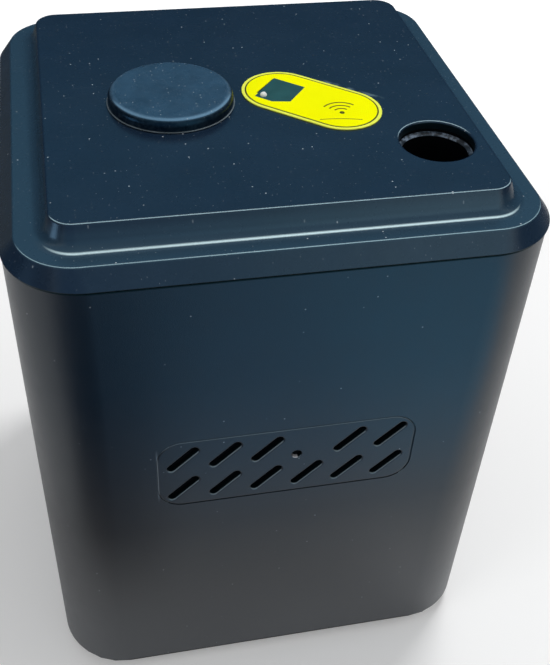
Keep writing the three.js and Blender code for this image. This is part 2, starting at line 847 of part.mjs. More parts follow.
// Lower moulding: the tank, its cone and the outlet
function hopperTank() {
  const rim = hopperSeam - seatGap;
  const tankInner = hopper.radius - hopper.wall;
  const outletInner = hopper.outletRadius - hopper.wall;
  return turned([
    [hopper.radius, rim],
    [hopper.radius, coneTop],
    [hopper.outletRadius, coneBottom],
    [hopper.outletRadius, outletBottom],
    [outletInner, outletBottom],
    [outletInner, coneBottom],
    [tankInner, coneTop],
    [tankInner, rim],
  ], sides.medium);
}

// Screw feed, built along +X from the hopper's axis towards the nozzle's axis

const feed = new THREE.Group();
feed.position.set(hopperAt.x, hopperAt.y, feedZ);
feed.rotation.z = feedAngle;
root.add(feed);

// Turns a solid built upwards so that it points along +X
const along = (geometry) => geometry.rotateY(Math.PI / 2);
const alongRod = (radius, from, to, count) => along(rod(radius, from, to, undefined, count));

const chamberOuter = nozzle.boreRadius + chamber.wall;
const tubeBore = screwFeed.tubeRadius - screwFeed.tubeWall;
const tubeEnd = feedRun.length() - nozzle.boreRadius;
const tubeStart = -screwFeed.tubeBehind;
const flightRadius = tubeBore - screwFeed.flightClearance;
const stubBore = hopper.outletRadius + seatGap;
const bushEnd = tubeStart + screwFeed.bushThickness;

function feedTube() {
  const stub = rod(screwFeed.stubRadius, 0, screwFeed.stubRise);
  return carve(
    [alongRod(screwFeed.tubeRadius, tubeStart, tubeEnd), stub],
    [
      alongRod(tubeBore, tubeStart - cutOverrun, tubeEnd + cutOverrun),
      rod(stubBore, 0, screwFeed.stubRise + cutOverrun),
    ],
  );
}

function bushSolid() {
  const inner = screwFeed.shaftRadius + seatGap;
  return along(
    turned([
      [inner, tubeStart],
      [tubeBore - seatGap, tubeStart],
      [tubeBore - seatGap, bushEnd],
      [inner, bushEnd],
    ], sides.large),
  );
}

const couplerEnd = tubeStart - seatGap;
const couplerStart = couplerEnd - screwFeed.couplerLength;
const couplerMiddle = (couplerStart + couplerEnd) / 2;

// One helical flight round the shaft: a strip with four corners a step, closed at both ends
function flight(from, to) {
  const turns = (to - from) / screwFeed.flightPitch;
  const steps = Math.ceil(turns * screwFeed.flightSteps);
  const half = screwFeed.flightThickness / 2;
  const inner = screwFeed.shaftRadius * screwFeed.flightRootShare;
  const positions = [];
  const faces = [];
  for (let i = 0; i <= steps; i++) {
    const angle = (i / steps) * turns * 2 * Math.PI;
    const x = from + ((to - from) * i) / steps;
    for (const [r, offset] of [[inner, -half], [flightRadius, -half], [flightRadius, half], [inner, half]])
      positions.push(x + offset, r * Math.cos(angle), r * Math.sin(angle));
    if (i === steps) break;
    for (let k = 0; k < 4; k++) {
      const a = 4 * i + k;
      const b = 4 * i + ((k + 1) % 4);
      faces.push(a, a + 4, b + 4, a, b + 4, b);
    }
  }
  const last = 4 * steps;
  faces.push(0, 1, 2, 0, 2, 3, last, last + 2, last + 1, last, last + 3, last + 2);
  const geometry = new THREE.BufferGeometry();
  geometry.setAttribute("position", new THREE.Float32BufferAttribute(positions, 3));
  geometry.setIndex(faces);
  return geometry;
}

function augerSolid() {
  const shaft = alongRod(screwFeed.shaftRadius, couplerMiddle + seatGap, tubeEnd - seatGap, sides.small);
  const first = bushEnd + screwFeed.flightThickness;
  return carve([shaft, flight(first, tubeEnd - screwFeed.flightThickness)]);
}

function couplerSolid() {
  const motorBoreEnd = couplerMiddle + seatGap / 2;
  return carve(
    [alongRod(screwFeed.couplerRadius, couplerStart, couplerEnd, sides.medium)],
    [
      alongRod(screwFeed.shaftRadius + seatGap, couplerMiddle, couplerEnd + cutOverrun, sides.small),
      alongRod(motor.shaftRadius + seatGap, couplerStart - cutOverrun, motorBoreEnd, sides.small),
    ],
  );
}

const bracketFace = couplerStart - seatGap;
const gearboxFace = bracketFace - plateThickness - seatGap;
const gearboxBack = gearboxFace - motor.gearboxLength;

function motorShaft() {
  return alongRod(motor.shaftRadius, gearboxFace - motor.shaftBite, couplerMiddle - seatGap, sides.small);
}

function gearboxSolid() {
  const middle = (gearboxFace + gearboxBack) / 2;
  const boreEnd = gearboxFace - motor.shaftBite - seatGap;
  return carve(
    [brick(middle, 0, -motor.gearboxRise / 2, motor.gearboxLength, motor.gearboxWidth, motor.gearboxRise)],
    [alongRod(motor.shaftRadius + seatGap, boreEnd, gearboxFace + cutOverrun, sides.small)],
  );
}

function motorCan() {
  const middle = (gearboxFace + gearboxBack) / 2;
  const top = -motor.gearboxRise / 2 - seatGap;
  return turned([
    [0, top],
    [motor.canRadius, top],
    [motor.canRadius, top - motor.canLength + motor.canEdge],
    [motor.canRadius - motor.canEdge, top - motor.canLength],
    [0, top - motor.canLength],
  ], sides.large).translate(middle, 0, 0);
}

const deckBelowFeed = -screwFeed.axisAboveDeck + seatGap;

function feedBracket() {
  const face = bracketFace;
  const plate = block(
    [face - plateThickness, -bracket.width / 2, deckBelowFeed],
    [face, bracket.width / 2, motor.gearboxRise / 2],
  );
  const footPlate = block(
    [face - plateThickness, -bracket.width / 2, deckBelowFeed],
    [face + bracket.footLength, bracket.width / 2, deckBelowFeed + plateThickness],
  );
  const holeRadius = motor.shaftRadius + motor.shaftClearance;
  return carve(
    [plate, footPlate],
    [alongRod(holeRadius, face - plateThickness - cutOverrun, face + cutOverrun, sides.small)],
  );
}

function tubeSaddle() {
  const middle = (screwFeed.stubRadius + tubeEnd - chamberOuter) / 2;
  const top = screwFeed.tubeRadius + bracket.collar;
  const plate = block(
    [middle - plateThickness, -bracket.width / 2, deckBelowFeed],
    [middle + plateThickness, bracket.width / 2, top],
  );
  const footPlate = block(
    [middle - bracket.footLength / 2, -bracket.width / 2, deckBelowFeed],
    [middle + bracket.footLength / 2, bracket.width / 2, deckBelowFeed + plateThickness],
  );
  return carve(
    [plate, footPlate],
    [alongRod(screwFeed.tubeRadius + seatGap, middle - bracket.footLength, middle + bracket.footLength)],
  );
}

// Heating chamber, coil and nozzle, built about the nozzle's axis

const column = new THREE.Group();
column.position.set(nozzleAt.x, nozzleAt.y, 0);
root.add(column);

const flangeBottom = deckTop + seatGap;
const flangeTop = flangeBottom + chamber.flangeThickness;
const chamberTop = feedZ + chamber.aboveFeed;
const socketBottom = chamberTop - chamber.socketDepth;
const nozzleOuter = nozzle.boreRadius + nozzle.wall;
const chamberBottom = deckBottom - chamber.tailDepth;
const diffuserBottom = flangeTop + chamber.diffuserRise;

function chamberSolid() {
  const bore = nozzle.boreRadius;
  const ledge = chamber.wall / 2;
  const socket = nozzleOuter + seatGap;
  const outline = [
    [bore - ledge, chamberBottom],
    [chamberOuter, chamberBottom],
    [chamberOuter, flangeBottom],
    [chamber.flangeRadius, flangeBottom],
    [chamber.flangeRadius, flangeTop],
    [chamberOuter, flangeTop],
    [chamberOuter, socketBottom - chamber.wall],
    [socket + chamber.wall, socketBottom],
    [socket + chamber.wall, chamberTop],
    [socket, chamberTop],
    [socket, socketBottom],
    [bore, socketBottom],
    [bore, diffuserBottom - seatGap],
    [bore - ledge, diffuserBottom - seatGap],
  ];
  const port = alongRod(screwFeed.tubeRadius + seatGap, 0, chamber.flangeRadius);
  port.rotateZ(feedAngle + Math.PI).translate(0, 0, feedZ);
  return carve([turned(outline, sides.medium)], [port]);
}

function diffuserSolid() {
  const top = diffuserBottom + chamber.diffuserThickness;
  const hole = (at) =>
    rod(chamber.diffuserHoleRadius, diffuserBottom - cutOverrun, top + cutOverrun, at, sides.small);
  const reach = (nozzle.boreRadius + chamber.wall) / 2;
  const cuts = [hole()];
  for (let i = 0; i < chamber.diffuserHoles; i++) {
    const angle = (i / chamber.diffuserHoles) * 2 * Math.PI;
    cuts.push(hole({ x: reach * Math.cos(angle), y: reach * Math.sin(angle) }));
  }
  return carve([rod(nozzle.boreRadius - seatGap, diffuserBottom, top)], cuts);
}

const bobbinBottom = flangeTop + seatGap;
const bobbinTop = bobbinBottom + bobbin.rise;
const bobbinCore = chamberOuter + seatGap + bobbin.wall;

function bobbinSolid() {
  const inner = chamberOuter + seatGap;
  return turned([
    [inner, bobbinBottom],
    [bobbin.flangeRadius, bobbinBottom],
    [bobbin.flangeRadius, bobbinBottom + bobbin.flangeThickness],
    [bobbinCore, bobbinBottom + bobbin.flangeThickness],
    [bobbinCore, bobbinTop],
    [inner, bobbinTop],
  ], sides.medium);
}

const coilRadius = bobbinCore + coil.gap + coil.wireRadius;
const coilPitch = 2 * coil.wireRadius + coil.turnGap;

// The wire's path: where its middle is, and which way is away from the bobbin. It starts and ends with
// a straight lead, one wire diameter long.
function coilStations() {
  const steps = coil.turns * coil.stepsPerTurn;
  const bottom = bobbinBottom + bobbin.flangeThickness + seatGap + coil.wireRadius;
  const climb = coilPitch / (2 * Math.PI);
  const lead = 2 * coil.wireRadius;
  const stations = [];
  for (let i = 0; i <= steps; i++) {
    const angle = (i / coil.stepsPerTurn) * 2 * Math.PI;
    const outward = new THREE.Vector3(Math.cos(angle), Math.sin(angle), 0);
    const middle = outward.clone().multiplyScalar(coilRadius).setZ(bottom + angle * climb);
    const onward = new THREE.Vector3(-coilRadius * Math.sin(angle), coilRadius * Math.cos(angle), climb);
    onward.normalize();
    if (i === 0) stations.push({ middle: middle.clone().addScaledVector(onward, -lead), outward, onward });
    stations.push({ middle, outward, onward });
    if (i === steps) stations.push({ middle: middle.clone().addScaledVector(onward, lead), outward, onward });
  }
  return stations;
}

// Least distance between points of the wire that lie half a turn or more apart
function leastGap(rings) {
  let least = Infinity;
  rings.forEach((ring, i) => {
    for (const other of rings.slice(i + coil.stepsPerTurn / 2))
      for (const point of ring) for (const far of other) least = Math.min(least, point.distanceTo(far));
  });
  return least;
}

// One unbroken wire wound round the bobbin
function coilSolid() {
  const count = coil.wireSides;
  const rings = coilStations().map(({ middle, outward, onward }) => {
    const up = new THREE.Vector3().crossVectors(outward, onward);
    return Array.from({ length: count }, (_, k) => {
      const turn = (k / count) * 2 * Math.PI;
      const point = middle.clone().addScaledVector(outward, coil.wireRadius * Math.cos(turn));
      return point.addScaledVector(up, coil.wireRadius * Math.sin(turn));
    });
  });
  console.log(`least gap of the coil to itself: ${leastGap(rings).toFixed(2)} mm`);
  const faces = [];
  const last = (rings.length - 1) * count;
  for (let i = 0; i + 1 < rings.length; i++)
    for (let k = 0; k < count; k++) {
      const a = i * count + k;
      const b = i * count + ((k + 1) % count);
      faces.push(a, b + count, b, a, a + count, b + count);
    }
  for (let k = 1; k + 1 < count; k++) {
    faces.push(0, k, k + 1);
    faces.push(last, last + k + 1, last + k);
  }
  const positions = rings.flat().flatMap((point) => point.toArray());
  const wire = new THREE.BufferGeometry();
  wire.setAttribute("position", new THREE.Float32BufferAttribute(positions, 3));
  wire.setIndex(faces);
  return wire;
}

function nozzleTube() {
  const top = ceilingZ - seatGap;
  const bottom = socketBottom + seatGap;
  return turned([
    [nozzle.boreRadius, bottom],
    [nozzleOuter, bottom],
    [nozzleOuter, top],
    [nozzle.boreRadius, top],
  ]);
}

function thermostatSolid() {
  const z = bobbinTop + thermostat.aboveBobbin;
  const face = chamberOuter + seatGap;
  const disc = alongRod(thermostat.radius, face, face + thermostat.thickness, sides.medium);
  disc.translate(0, 0, z);
  const ear = block(
    [face, -thermostat.earLength / 2, z - thermostat.earWidth / 2],
    [face + thermostat.earThickness, thermostat.earLength / 2, z + thermostat.earWidth / 2],
  );
  return carve([disc, ear]);
}

// Blower, standing on edge so that its outlet points up into the chamber

const blowerBottom = baseTop + seatGap;
const blowerTop = blowerBottom + blower.size;
const wheelZ = blowerBottom + blower.size / 2;

function blowerHousing() {
  const w = blower.wall;
  const half = blower.size / 2;
  const y0 = -blower.thickness / 2;
  const y1 = blower.thickness / 2;
  const outer = block([blowerX - half, y0, blowerBottom], [blowerX + half, y1, blowerTop]);
  const at = { x: blowerX, z: wheelZ };
  const well = bar(half - w, y0 + w, y1 - w, at, sides.large);
  const throat = block(
    [-blower.outletWidth / 2, y0 + w, wheelZ],
    [blower.outletWidth / 2, y1 - w, blowerTop + cutOverrun],
  );
  const eye = bar(blower.eyeRadius, y0 - cutOverrun, y0 + w + cutOverrun, at, sides.medium);
  const pin = bar(blower.pinRadius, -blower.discThickness, y1 - w / 2, at);
  return geometryOf(
    solidOf(outer).subtract(solidOf(well)).subtract(solidOf(throat)).subtract(solidOf(eye)).add(solidOf(pin)),
  );
}

function impellerSolid() {
  const y0 = -blower.thickness / 2 + blower.wall + blower.impellerClearance;
  const y1 = blower.thickness / 2 - blower.wall - blower.impellerClearance;
  const at = { x: blowerX, z: wheelZ };
  const joined = [
    bar(blower.impellerRadius, y1 - blower.discThickness, y1, at, sides.large),
    bar(blower.hubRadius, -blower.discThickness, y1, at, sides.small),
  ];
  for (let i = 0; i < blower.blades; i++) {
    const blade = block(
      [blower.impellerRadius - blower.bladeLength, y0, -blower.bladeThickness / 2],
      [blower.impellerRadius - seatGap, y1, blower.bladeThickness / 2],
    );
    joined.push(blade.rotateY((i / blower.blades) * 2 * Math.PI).translate(at.x, 0, at.z));
  }
  const bore = bar(blower.pinRadius + seatGap, -blower.discThickness - cutOverrun, y1 + cutOverrun, at);
  return carve(joined, [bore]);
}

function airDuct() {
  const bottom = blowerTop + seatGap;
  const top = chamberBottom - seatGap;
  const depth = blower.thickness - 2 * blower.wall;
  const width = blower.outletWidth;
  const outer = { width: width + 2 * duct.wall, depth: depth + 2 * duct.wall, radius: duct.wall };
  const inner = { width, depth, radius: duct.wall / 2 };
  const ring = (size, z) => ({ ...size, z });
  const solid = loft([ring(outer, bottom), ring(outer, top)], 2);
  const bore = loft([ring(inner, bottom - cutOverrun), ring(inner, top + cutOverrun)], 2);
  return carve([solid], [bore]);
}

// Cooling fan behind the rear slots

const fanBack = rearInner - seatGap;
const fanFront = fanBack - fan.thickness;
const fanBore = fan.size / 2 - fan.rim;
const fanPinFront = fanFront + fan.thickness / 2;

function fanFrame() {
  const outer = upright(roundedShape(fan.size, fan.size, fan.holeInset, 2), fanFront, fanBack, fanAt);
  const bore = bar(fanBore, fanFront - cutOverrun, fanBack + cutOverrun, fanAt, sides.fine);
  const hubFront = fanBack - fan.hubDepth;
  const ring = geometryOf(solidOf(outer).subtract(solidOf(bore)));
  const joined = [
    ring,
    bar(fan.hubRadius, hubFront, fanBack, fanAt, sides.medium),
    bar(fan.pinRadius, fanPinFront, hubFront + fan.strutThickness, fanAt),
  ];
  for (let i = 0; i < fan.struts; i++) {
    const strut = block(
      [0, fanBack - fan.strutThickness, -fan.strutWidth / 2],
      [fanBore + fan.holeInset / 2, fanBack, fan.strutWidth / 2],
    );
    joined.push(strut.rotateY((i / fan.struts) * 2 * Math.PI).translate(0, 0, rearVentZ));
  }
  const holeFront = fanBack - screw.length;
  const cuts = fanHoles.map((at) => bar(screw.radius + seatGap, holeFront, fanBack + cutOverrun, at));
  return carve(joined, cuts);
}

function fanRotor() {
  const back = fanBack - fan.hubDepth - fan.bladeClearance;
  const front = fanFront + fan.bladeClearance;
  const joined = [bar(fan.hubRadius, front, back, fanAt, sides.medium)];
  const middle = (front + back) / 2;
  const reach = fanBore - fan.bladeClearance;
  for (let i = 0; i < fan.blades; i++) {
    const blade = block(
      [fan.hubRadius * fan.bladeRootShare, -fan.bladeThickness / 2, -fan.bladeChord / 2],
      [reach, fan.bladeThickness / 2, fan.bladeChord / 2],
    );
    blade.rotateX(fan.bladeTilt).translate(0, middle, 0);
    joined.push(blade.rotateY((i / fan.blades) * 2 * Math.PI).translate(0, 0, rearVentZ));
  }
  const bore = bar(fan.pinRadius + seatGap, fanPinFront - seatGap, back + cutOverrun, fanAt);
  return carve(joined, [bore]);
}

// Rear connectors, side by side in a recessed tray

const connectorWidths = [inlet.width, rocker.width, dmx.width, dmx.width];
const totalWidth = (widths) => widths.reduce((sum, width) => sum + width, 0);
const trayInside = tray.windowWidth - 2 * tray.wall;
const connectorGap = (trayInside - totalWidth(connectorWidths)) / (connectorWidths.length + 1);
// Middles from the left, seen from behind, so from +X to -X
const connectorX = connectorWidths.map(
  (width, i) => trayInside / 2 - connectorGap * (i + 1) - totalWidth(connectorWidths.slice(0, i)) - width / 2,
);
const [inletX, rockerX, dmxInX, dmxOutX] = connectorX;
const flangeBack = trayFloor + seatGap;
const flangeFront = flangeBack + socketFlange.thickness;
const innerFace = trayFloor - tray.wall;
const bodyEnd = innerFace - socketFlange.bodyDepth;

const flangeShape = (piece, radius) => roundedShape(piece.width, piece.height, radius, 2);

// A connector's body behind its flange, or with a gap added the hole for it
const bodyShape = (piece, gap = 0) =>
  roundedShape(
    piece.width - 2 * inlet.bodyWall + 2 * gap,
    piece.height - 2 * inlet.bodyWall + 2 * gap,
    inlet.bodyWall + gap,
    2,
  );

function traySolid() {
  const width = tray.windowWidth - 2 * seatGap;
  const height = tray.windowHeight - 2 * seatGap;
  const at = { x: 0, z: trayZ };
  const outer = upright(roundedShape(width, height, tray.cornerRadius), innerFace, rearFace, at);
  const flangeTop = rearInner - seatGap;
  const rim = upright(
    roundedShape(width + 2 * tray.flange, height + 2 * tray.flange, tray.cornerRadius),
    flangeTop - tray.wall,
    flangeTop,
    at,
  );
  const hollow = upright(
    roundedShape(width - 2 * tray.wall, height - 2 * tray.wall, tray.cornerRadius - tray.wall),
    trayFloor,
    rearFace + cutOverrun,
    at,
  );
  const from = innerFace - cutOverrun;
  const to = trayFloor + cutOverrun;
  const openings = [
    upright(bodyShape(inlet, seatGap), from, to, { x: inletX, z: trayZ }),
    upright(bodyShape(rocker, seatGap), from, to, { x: rockerX, z: trayZ }),
    bar(dmx.barrelRadius + seatGap, from, to, { x: dmxInX, z: trayZ }, sides.medium),
    bar(dmx.barrelRadius + seatGap, from, to, { x: dmxOutX, z: trayZ }, sides.medium),
  ];
  return carve([outer, rim], [hollow, ...openings]);
}

const cavityZ = trayZ + inlet.cavityAbove;
const fuseZ = trayZ - fuse.below;

function inletSolid() {
  const at = { x: inletX, z: trayZ };
  const flange = upright(flangeShape(inlet, inlet.bodyWall), flangeBack, flangeFront, at);
  const body = upright(bodyShape(inlet), bodyEnd, flangeFront, at);
  const w = inlet.cavityWidth / 2;
  const h = inlet.cavityHeight / 2;
  const cut = inlet.cavityCut;
  const outline = new THREE.Shape([
    new THREE.Vector2(-w, -h),
    new THREE.Vector2(w, -h),
    new THREE.Vector2(w, h - cut),
    new THREE.Vector2(w - cut, h),
    new THREE.Vector2(cut - w, h),
    new THREE.Vector2(-w, h - cut),
  ]);
  const cavityFloor = flangeFront - inlet.cavityDepth;
  const cavity = upright(outline, cavityFloor, flangeFront + cutOverrun, { x: inletX, z: cavityZ });
  const slotWidth = fuse.width / 2 + seatGap;
  const slotHeight = fuse.height / 2 + seatGap;
  const drawer = block(
    [inletX - slotWidth, flangeFront - fuse.depth - seatGap, fuseZ - slotHeight],
    [inletX + slotWidth, flangeFront + cutOverrun, fuseZ + slotHeight],
  );
  const hollowed = carve([flange, body], [cavity, drawer]);
  const pinPlaces = [
    [-inlet.pinPitch, -inlet.pinDrop],
    [0, inlet.pinDrop],
    [inlet.pinPitch, -inlet.pinDrop],
  ];
  const pins = pinPlaces.map(([dx, dz]) => {
    const x = inletX + dx;
    const z = cavityZ + dz;
    return block(
      [x - inlet.pinWidth / 2, cavityFloor - inlet.bodyWall, z - inlet.pinHeight / 2],
      [x + inlet.pinWidth / 2, cavityFloor + inlet.pinLength, z + inlet.pinHeight / 2],
    );
  });
  return carve([hollowed, ...pins]);
}

function fuseSolid() {
  const face = flangeFront + seatGap;
  const lip = block(
    [inletX - fuse.width / 2 - fuse.lip, face, fuseZ - fuse.height / 2 - fuse.lip / 2],
    [inletX + fuse.width / 2 + fuse.lip, face + fuse.lip, fuseZ + fuse.height / 2 + fuse.lip / 2],
  );
  const drawer = block(
    [inletX - fuse.width / 2, flangeFront - fuse.depth, fuseZ - fuse.height / 2],
    [inletX + fuse.width / 2, face + fuse.lip / 2, fuseZ + fuse.height / 2],
  );
  const grip = block(
    [inletX - fuse.gripWidth / 2, face + fuse.lip - fuse.gripRadius / 2, fuseZ - fuse.gripRadius],
    [inletX + fuse.gripWidth / 2, face + fuse.lip + cutOverrun, fuseZ + fuse.gripRadius],
  );
  return carve([lip, drawer], [grip]);
}

const pivotY = flangeFront - rocker.pivotDepth;
const paddleSweep = Math.hypot(rocker.paddleReach, rocker.endRise);

function rockerFrame() {
  const at = { x: rockerX, z: trayZ };
  const flange = upright(flangeShape(rocker, inlet.bodyWall), flangeBack, flangeFront, at);
  const body = upright(bodyShape(rocker), bodyEnd, flangeFront, at);
  const well = block(
    [rockerX - rocker.paddleWidth / 2 - seatGap, pivotY - paddleSweep, trayZ - paddleSweep - seatGap],
    [rockerX + rocker.paddleWidth / 2 + seatGap, flangeFront + cutOverrun, trayZ + paddleSweep + seatGap],
  );
  return carve([flange, body], [well]);
}

// The paddle: a shallow V that rocks about its pivot, with its upper half out when the switch is off
function rockerPaddle() {
  const reach = rocker.paddleReach;
  const shape = new THREE.Shape([
    new THREE.Vector2(-rocker.keelDepth, -rocker.keelReach),
    new THREE.Vector2(-rocker.skirtDepth, -reach),
    new THREE.Vector2(rocker.endRise, -reach),
    new THREE.Vector2(rocker.middleRise, 0),
    new THREE.Vector2(rocker.endRise, reach),
    new THREE.Vector2(-rocker.skirtDepth, reach),
    new THREE.Vector2(-rocker.keelDepth, rocker.keelReach),
  ]);
  const solid = slab(shape, -rocker.paddleWidth / 2, rocker.paddleWidth / 2);
  const outward = new THREE.Vector3(0, 1, 0);
  const upward = new THREE.Vector3(0, 0, 1);
  const sideways = new THREE.Vector3(1, 0, 0);
  solid.applyMatrix4(new THREE.Matrix4().makeBasis(outward, upward, sideways));
  return solid.rotateX(-rocker.tilt);
}

const boreFloor = flangeFront - dmx.boreDepth;

function dmxShell(x) {
  const at = { x, z: trayZ };
  const flange = upright(flangeShape(dmx, dmx.cornerRadius), flangeBack, flangeFront, at);
  const barrel = bar(dmx.barrelRadius, bodyEnd, flangeFront, at, sides.medium);
  const bore = bar(dmx.boreRadius, boreFloor, flangeFront + cutOverrun, at, sides.medium);
  return carve([flange, barrel], [bore]);
}

// Middles of the three contacts of a socket
const contactPlaces = (x) =>
  [-30, 90, 210].map((degrees) => {
    const angle = (degrees * Math.PI) / 180;
    return { x: x + dmx.pinCircle * Math.cos(angle), z: trayZ + dmx.pinCircle * Math.sin(angle) };
  });

function dmxIn() {
  const pins = contactPlaces(dmxInX).map((at) =>
    bar(dmx.pinRadius, boreFloor - dmx.pinRadius, flangeFront - dmx.pinRadius, at),
  );
  return carve([dmxShell(dmxInX), ...pins]);
}

const latchZ = trayZ + dmx.height / 2 - dmx.latchHeight / 2 - dmx.latchInset;

function dmxOut() {
  const at = { x: dmxOutX, z: trayZ };
  const core = bar(dmx.coreRadius, boreFloor - dmx.pinRadius, flangeFront, at, sides.medium);
  const contacts = contactPlaces(dmxOutX).map((place) =>
    bar(dmx.contactRadius, boreFloor + dmx.pinRadius, flangeFront + cutOverrun, place),
  );
  const halfWidth = dmx.latchWidth / 2 + seatGap;
  const halfHeight = dmx.latchHeight / 2 + seatGap;
  const latchSlot = block(
    [dmxOutX - halfWidth, flangeBack - dmx.latchLength, latchZ - halfHeight],
    [dmxOutX + halfWidth, flangeFront + cutOverrun, latchZ + halfHeight],
  );
  return carve([dmxShell(dmxOutX), core], [...contacts, latchSlot]);
}

function latchSolid() {
  return block(
    [dmxOutX - dmx.latchWidth / 2, trayFloor + seatGap + dmx.latchTravel, latchZ - dmx.latchHeight / 2],
    [dmxOutX + dmx.latchWidth / 2, flangeFront + dmx.latchTravel + seatGap, latchZ + dmx.latchHeight / 2],
  );
}

function eyeSolid() {
  const face = frontInner + seatGap;
  const body = block(
    [eyeAt.x - eyeSensor.width / 2, face, eyeAt.z - eyeSensor.height / 2],
    [eyeAt.x + eyeSensor.width / 2, face + eyeSensor.thickness, eyeAt.z + eyeSensor.height / 2],
  );
  const lensBack = face + eyeSensor.thickness / 2;
  const lens = bar(vent.eyeRadius - seatGap, face - eyeSensor.lensRise, lensBack, eyeAt, sides.small);
  return carve([body, lens]);
}

// Assembly

place("body_shell", bodyShell(), blackPaint);
place("lid", lidSolid(), blackPlastic);
place("base_plate", basePlate(), blackPaint);
place("deck", deckPlate(), zinc);
for (const [name, sx, sy] of CORNERS) {
  place(`foot_${name}`, footSolid(), blackRubber, [sx * footAt.x, sy * footAt.y, 0]);
  place(`corner_post_${name}`, postSolid(), zinc, [sx * postAt.x, sy * postAt.y, 0]);
  place(`post_screw_${name}`, screwSolid(), steel, [sx * postAt.x, sy * postAt.y, baseBottom - seatGap]);
}

place("label_overlay", labelSolid(), yellowFilm, [0, 0, 0], onLabel);
place("display_window", windowSolid(), darkWindow, [0, 0, 0], onLabel);
place("digit_display", digitSolid(), greyPlastic, [0, 0, 0], onLabel);
place("display_board", displayBoard(), boardGreen, [0, 0, 0], onLabel);
place("hopper_cap", capSolid(), blackRubber, [hopperAt.x, hopperAt.y, 0]);
place("hopper_neck", hopperNeck(), clearPlastic, [hopperAt.x, hopperAt.y, 0]);
place("hopper_tank", hopperTank(), clearPlastic, [hopperAt.x, hopperAt.y, 0]);

place("feed_tube", feedTube(), aluminium, [0, 0, 0], feed);
place("auger_bush", bushSolid(), brass, [0, 0, 0], feed);
place("feed_auger", augerSolid(), steel, [0, 0, 0], feed);
place("shaft_coupler", couplerSolid(), brass, [0, 0, 0], feed);
place("motor_shaft", motorShaft(), steel, [0, 0, 0], feed);
place("motor_gearbox", gearboxSolid(), zinc, [0, 0, 0], feed);
place("motor_can", motorCan(), steel, [0, 0, 0], feed);
place("feed_bracket", feedBracket(), zinc, [0, 0, 0], feed);
place("tube_saddle", tubeSaddle(), zinc, [0, 0, 0], feed);

place("heating_chamber", chamberSolid(), steel, [0, 0, 0], column);
place("air_diffuser", diffuserSolid(), steel, [0, 0, 0], column);
place("coil_bobbin", bobbinSolid(), ceramic, [0, 0, 0], column);
place("induction_coil", coilSolid(), copper, [0, 0, 0], column);
place("nozzle_tube", nozzleTube(), steel, [0, 0, 0], column);
place("thermostat", thermostatSolid(), ceramic, [0, 0, 0], column);
place("blower_housing", blowerHousing(), greyPlastic, [0, 0, 0], column);
place("blower_impeller", impellerSolid(), greyPlastic, [0, 0, 0], column);
place("air_duct", airDuct(), aluminium, [0, 0, 0], column);

place("cooling_fan_frame", fanFrame(), greyPlastic);
place("cooling_fan_rotor", fanRotor(), greyPlastic);
for (const { name, x, z } of fanHoles) {
  const fanScrew = place(`fan_screw_${name}`, screwSolid(), steel, [x, screwSeat + seatGap, z]);
  fanScrew.rotation.x = Math.PI / 2;
}

place("power_supply", supplySolid(), aluminium);
place("driver_board", driverBoard(baseTop + base.bossRise + seatGap), boardGreen);
place("heat_sink", heatSink(baseTop + base.bossRise + boardThickness + 2 * seatGap), aluminium);
place("control_board", controlSolid(deckTop + base.bossRise + seatGap), boardGreen);

place("connector_tray", traySolid(), blackPlastic);
place("power_inlet", inletSolid(), blackPlastic);
place("fuse_drawer", fuseSolid(), blackPlastic);
place("switch_frame", rockerFrame(), blackPlastic);
place("switch_rocker", rockerPaddle(), blackPlastic, [rockerX, pivotY, trayZ]);
place("dmx_in_socket", dmxIn(), blackPaint);
place("dmx_out_socket", dmxOut(), blackPaint);
place("dmx_out_latch", latchSolid(), zinc);
place("infrared_eye", eyeSolid(), greyPlastic);

export default root;
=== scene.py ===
"""Looks of a cold spark machine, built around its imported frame.

Sizes are in millimetres, and the helpers turn them to metres. Lamps and texture scales are in metres.
"""

import json
import math

import bmesh
import bpy
from mathutils import Matrix, Vector


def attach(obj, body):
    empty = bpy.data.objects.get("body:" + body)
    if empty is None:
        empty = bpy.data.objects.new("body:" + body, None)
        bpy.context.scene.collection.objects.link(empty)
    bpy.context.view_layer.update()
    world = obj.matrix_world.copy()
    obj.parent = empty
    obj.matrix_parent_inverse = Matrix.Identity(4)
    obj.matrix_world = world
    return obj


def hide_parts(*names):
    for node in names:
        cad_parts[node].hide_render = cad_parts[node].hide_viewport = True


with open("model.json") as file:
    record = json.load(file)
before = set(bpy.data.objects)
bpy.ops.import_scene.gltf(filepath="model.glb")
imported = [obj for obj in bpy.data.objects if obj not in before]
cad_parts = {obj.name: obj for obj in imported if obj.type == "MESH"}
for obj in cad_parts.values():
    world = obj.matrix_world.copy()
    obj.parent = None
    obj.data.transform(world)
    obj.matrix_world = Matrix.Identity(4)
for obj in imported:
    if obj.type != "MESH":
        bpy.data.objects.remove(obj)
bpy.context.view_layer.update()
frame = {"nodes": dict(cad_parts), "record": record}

MM = 0.001
QUARTER = math.pi / 2
MERGE_DISTANCE = 1e-7  # metres
SHARP_ANGLE = math.radians(32)

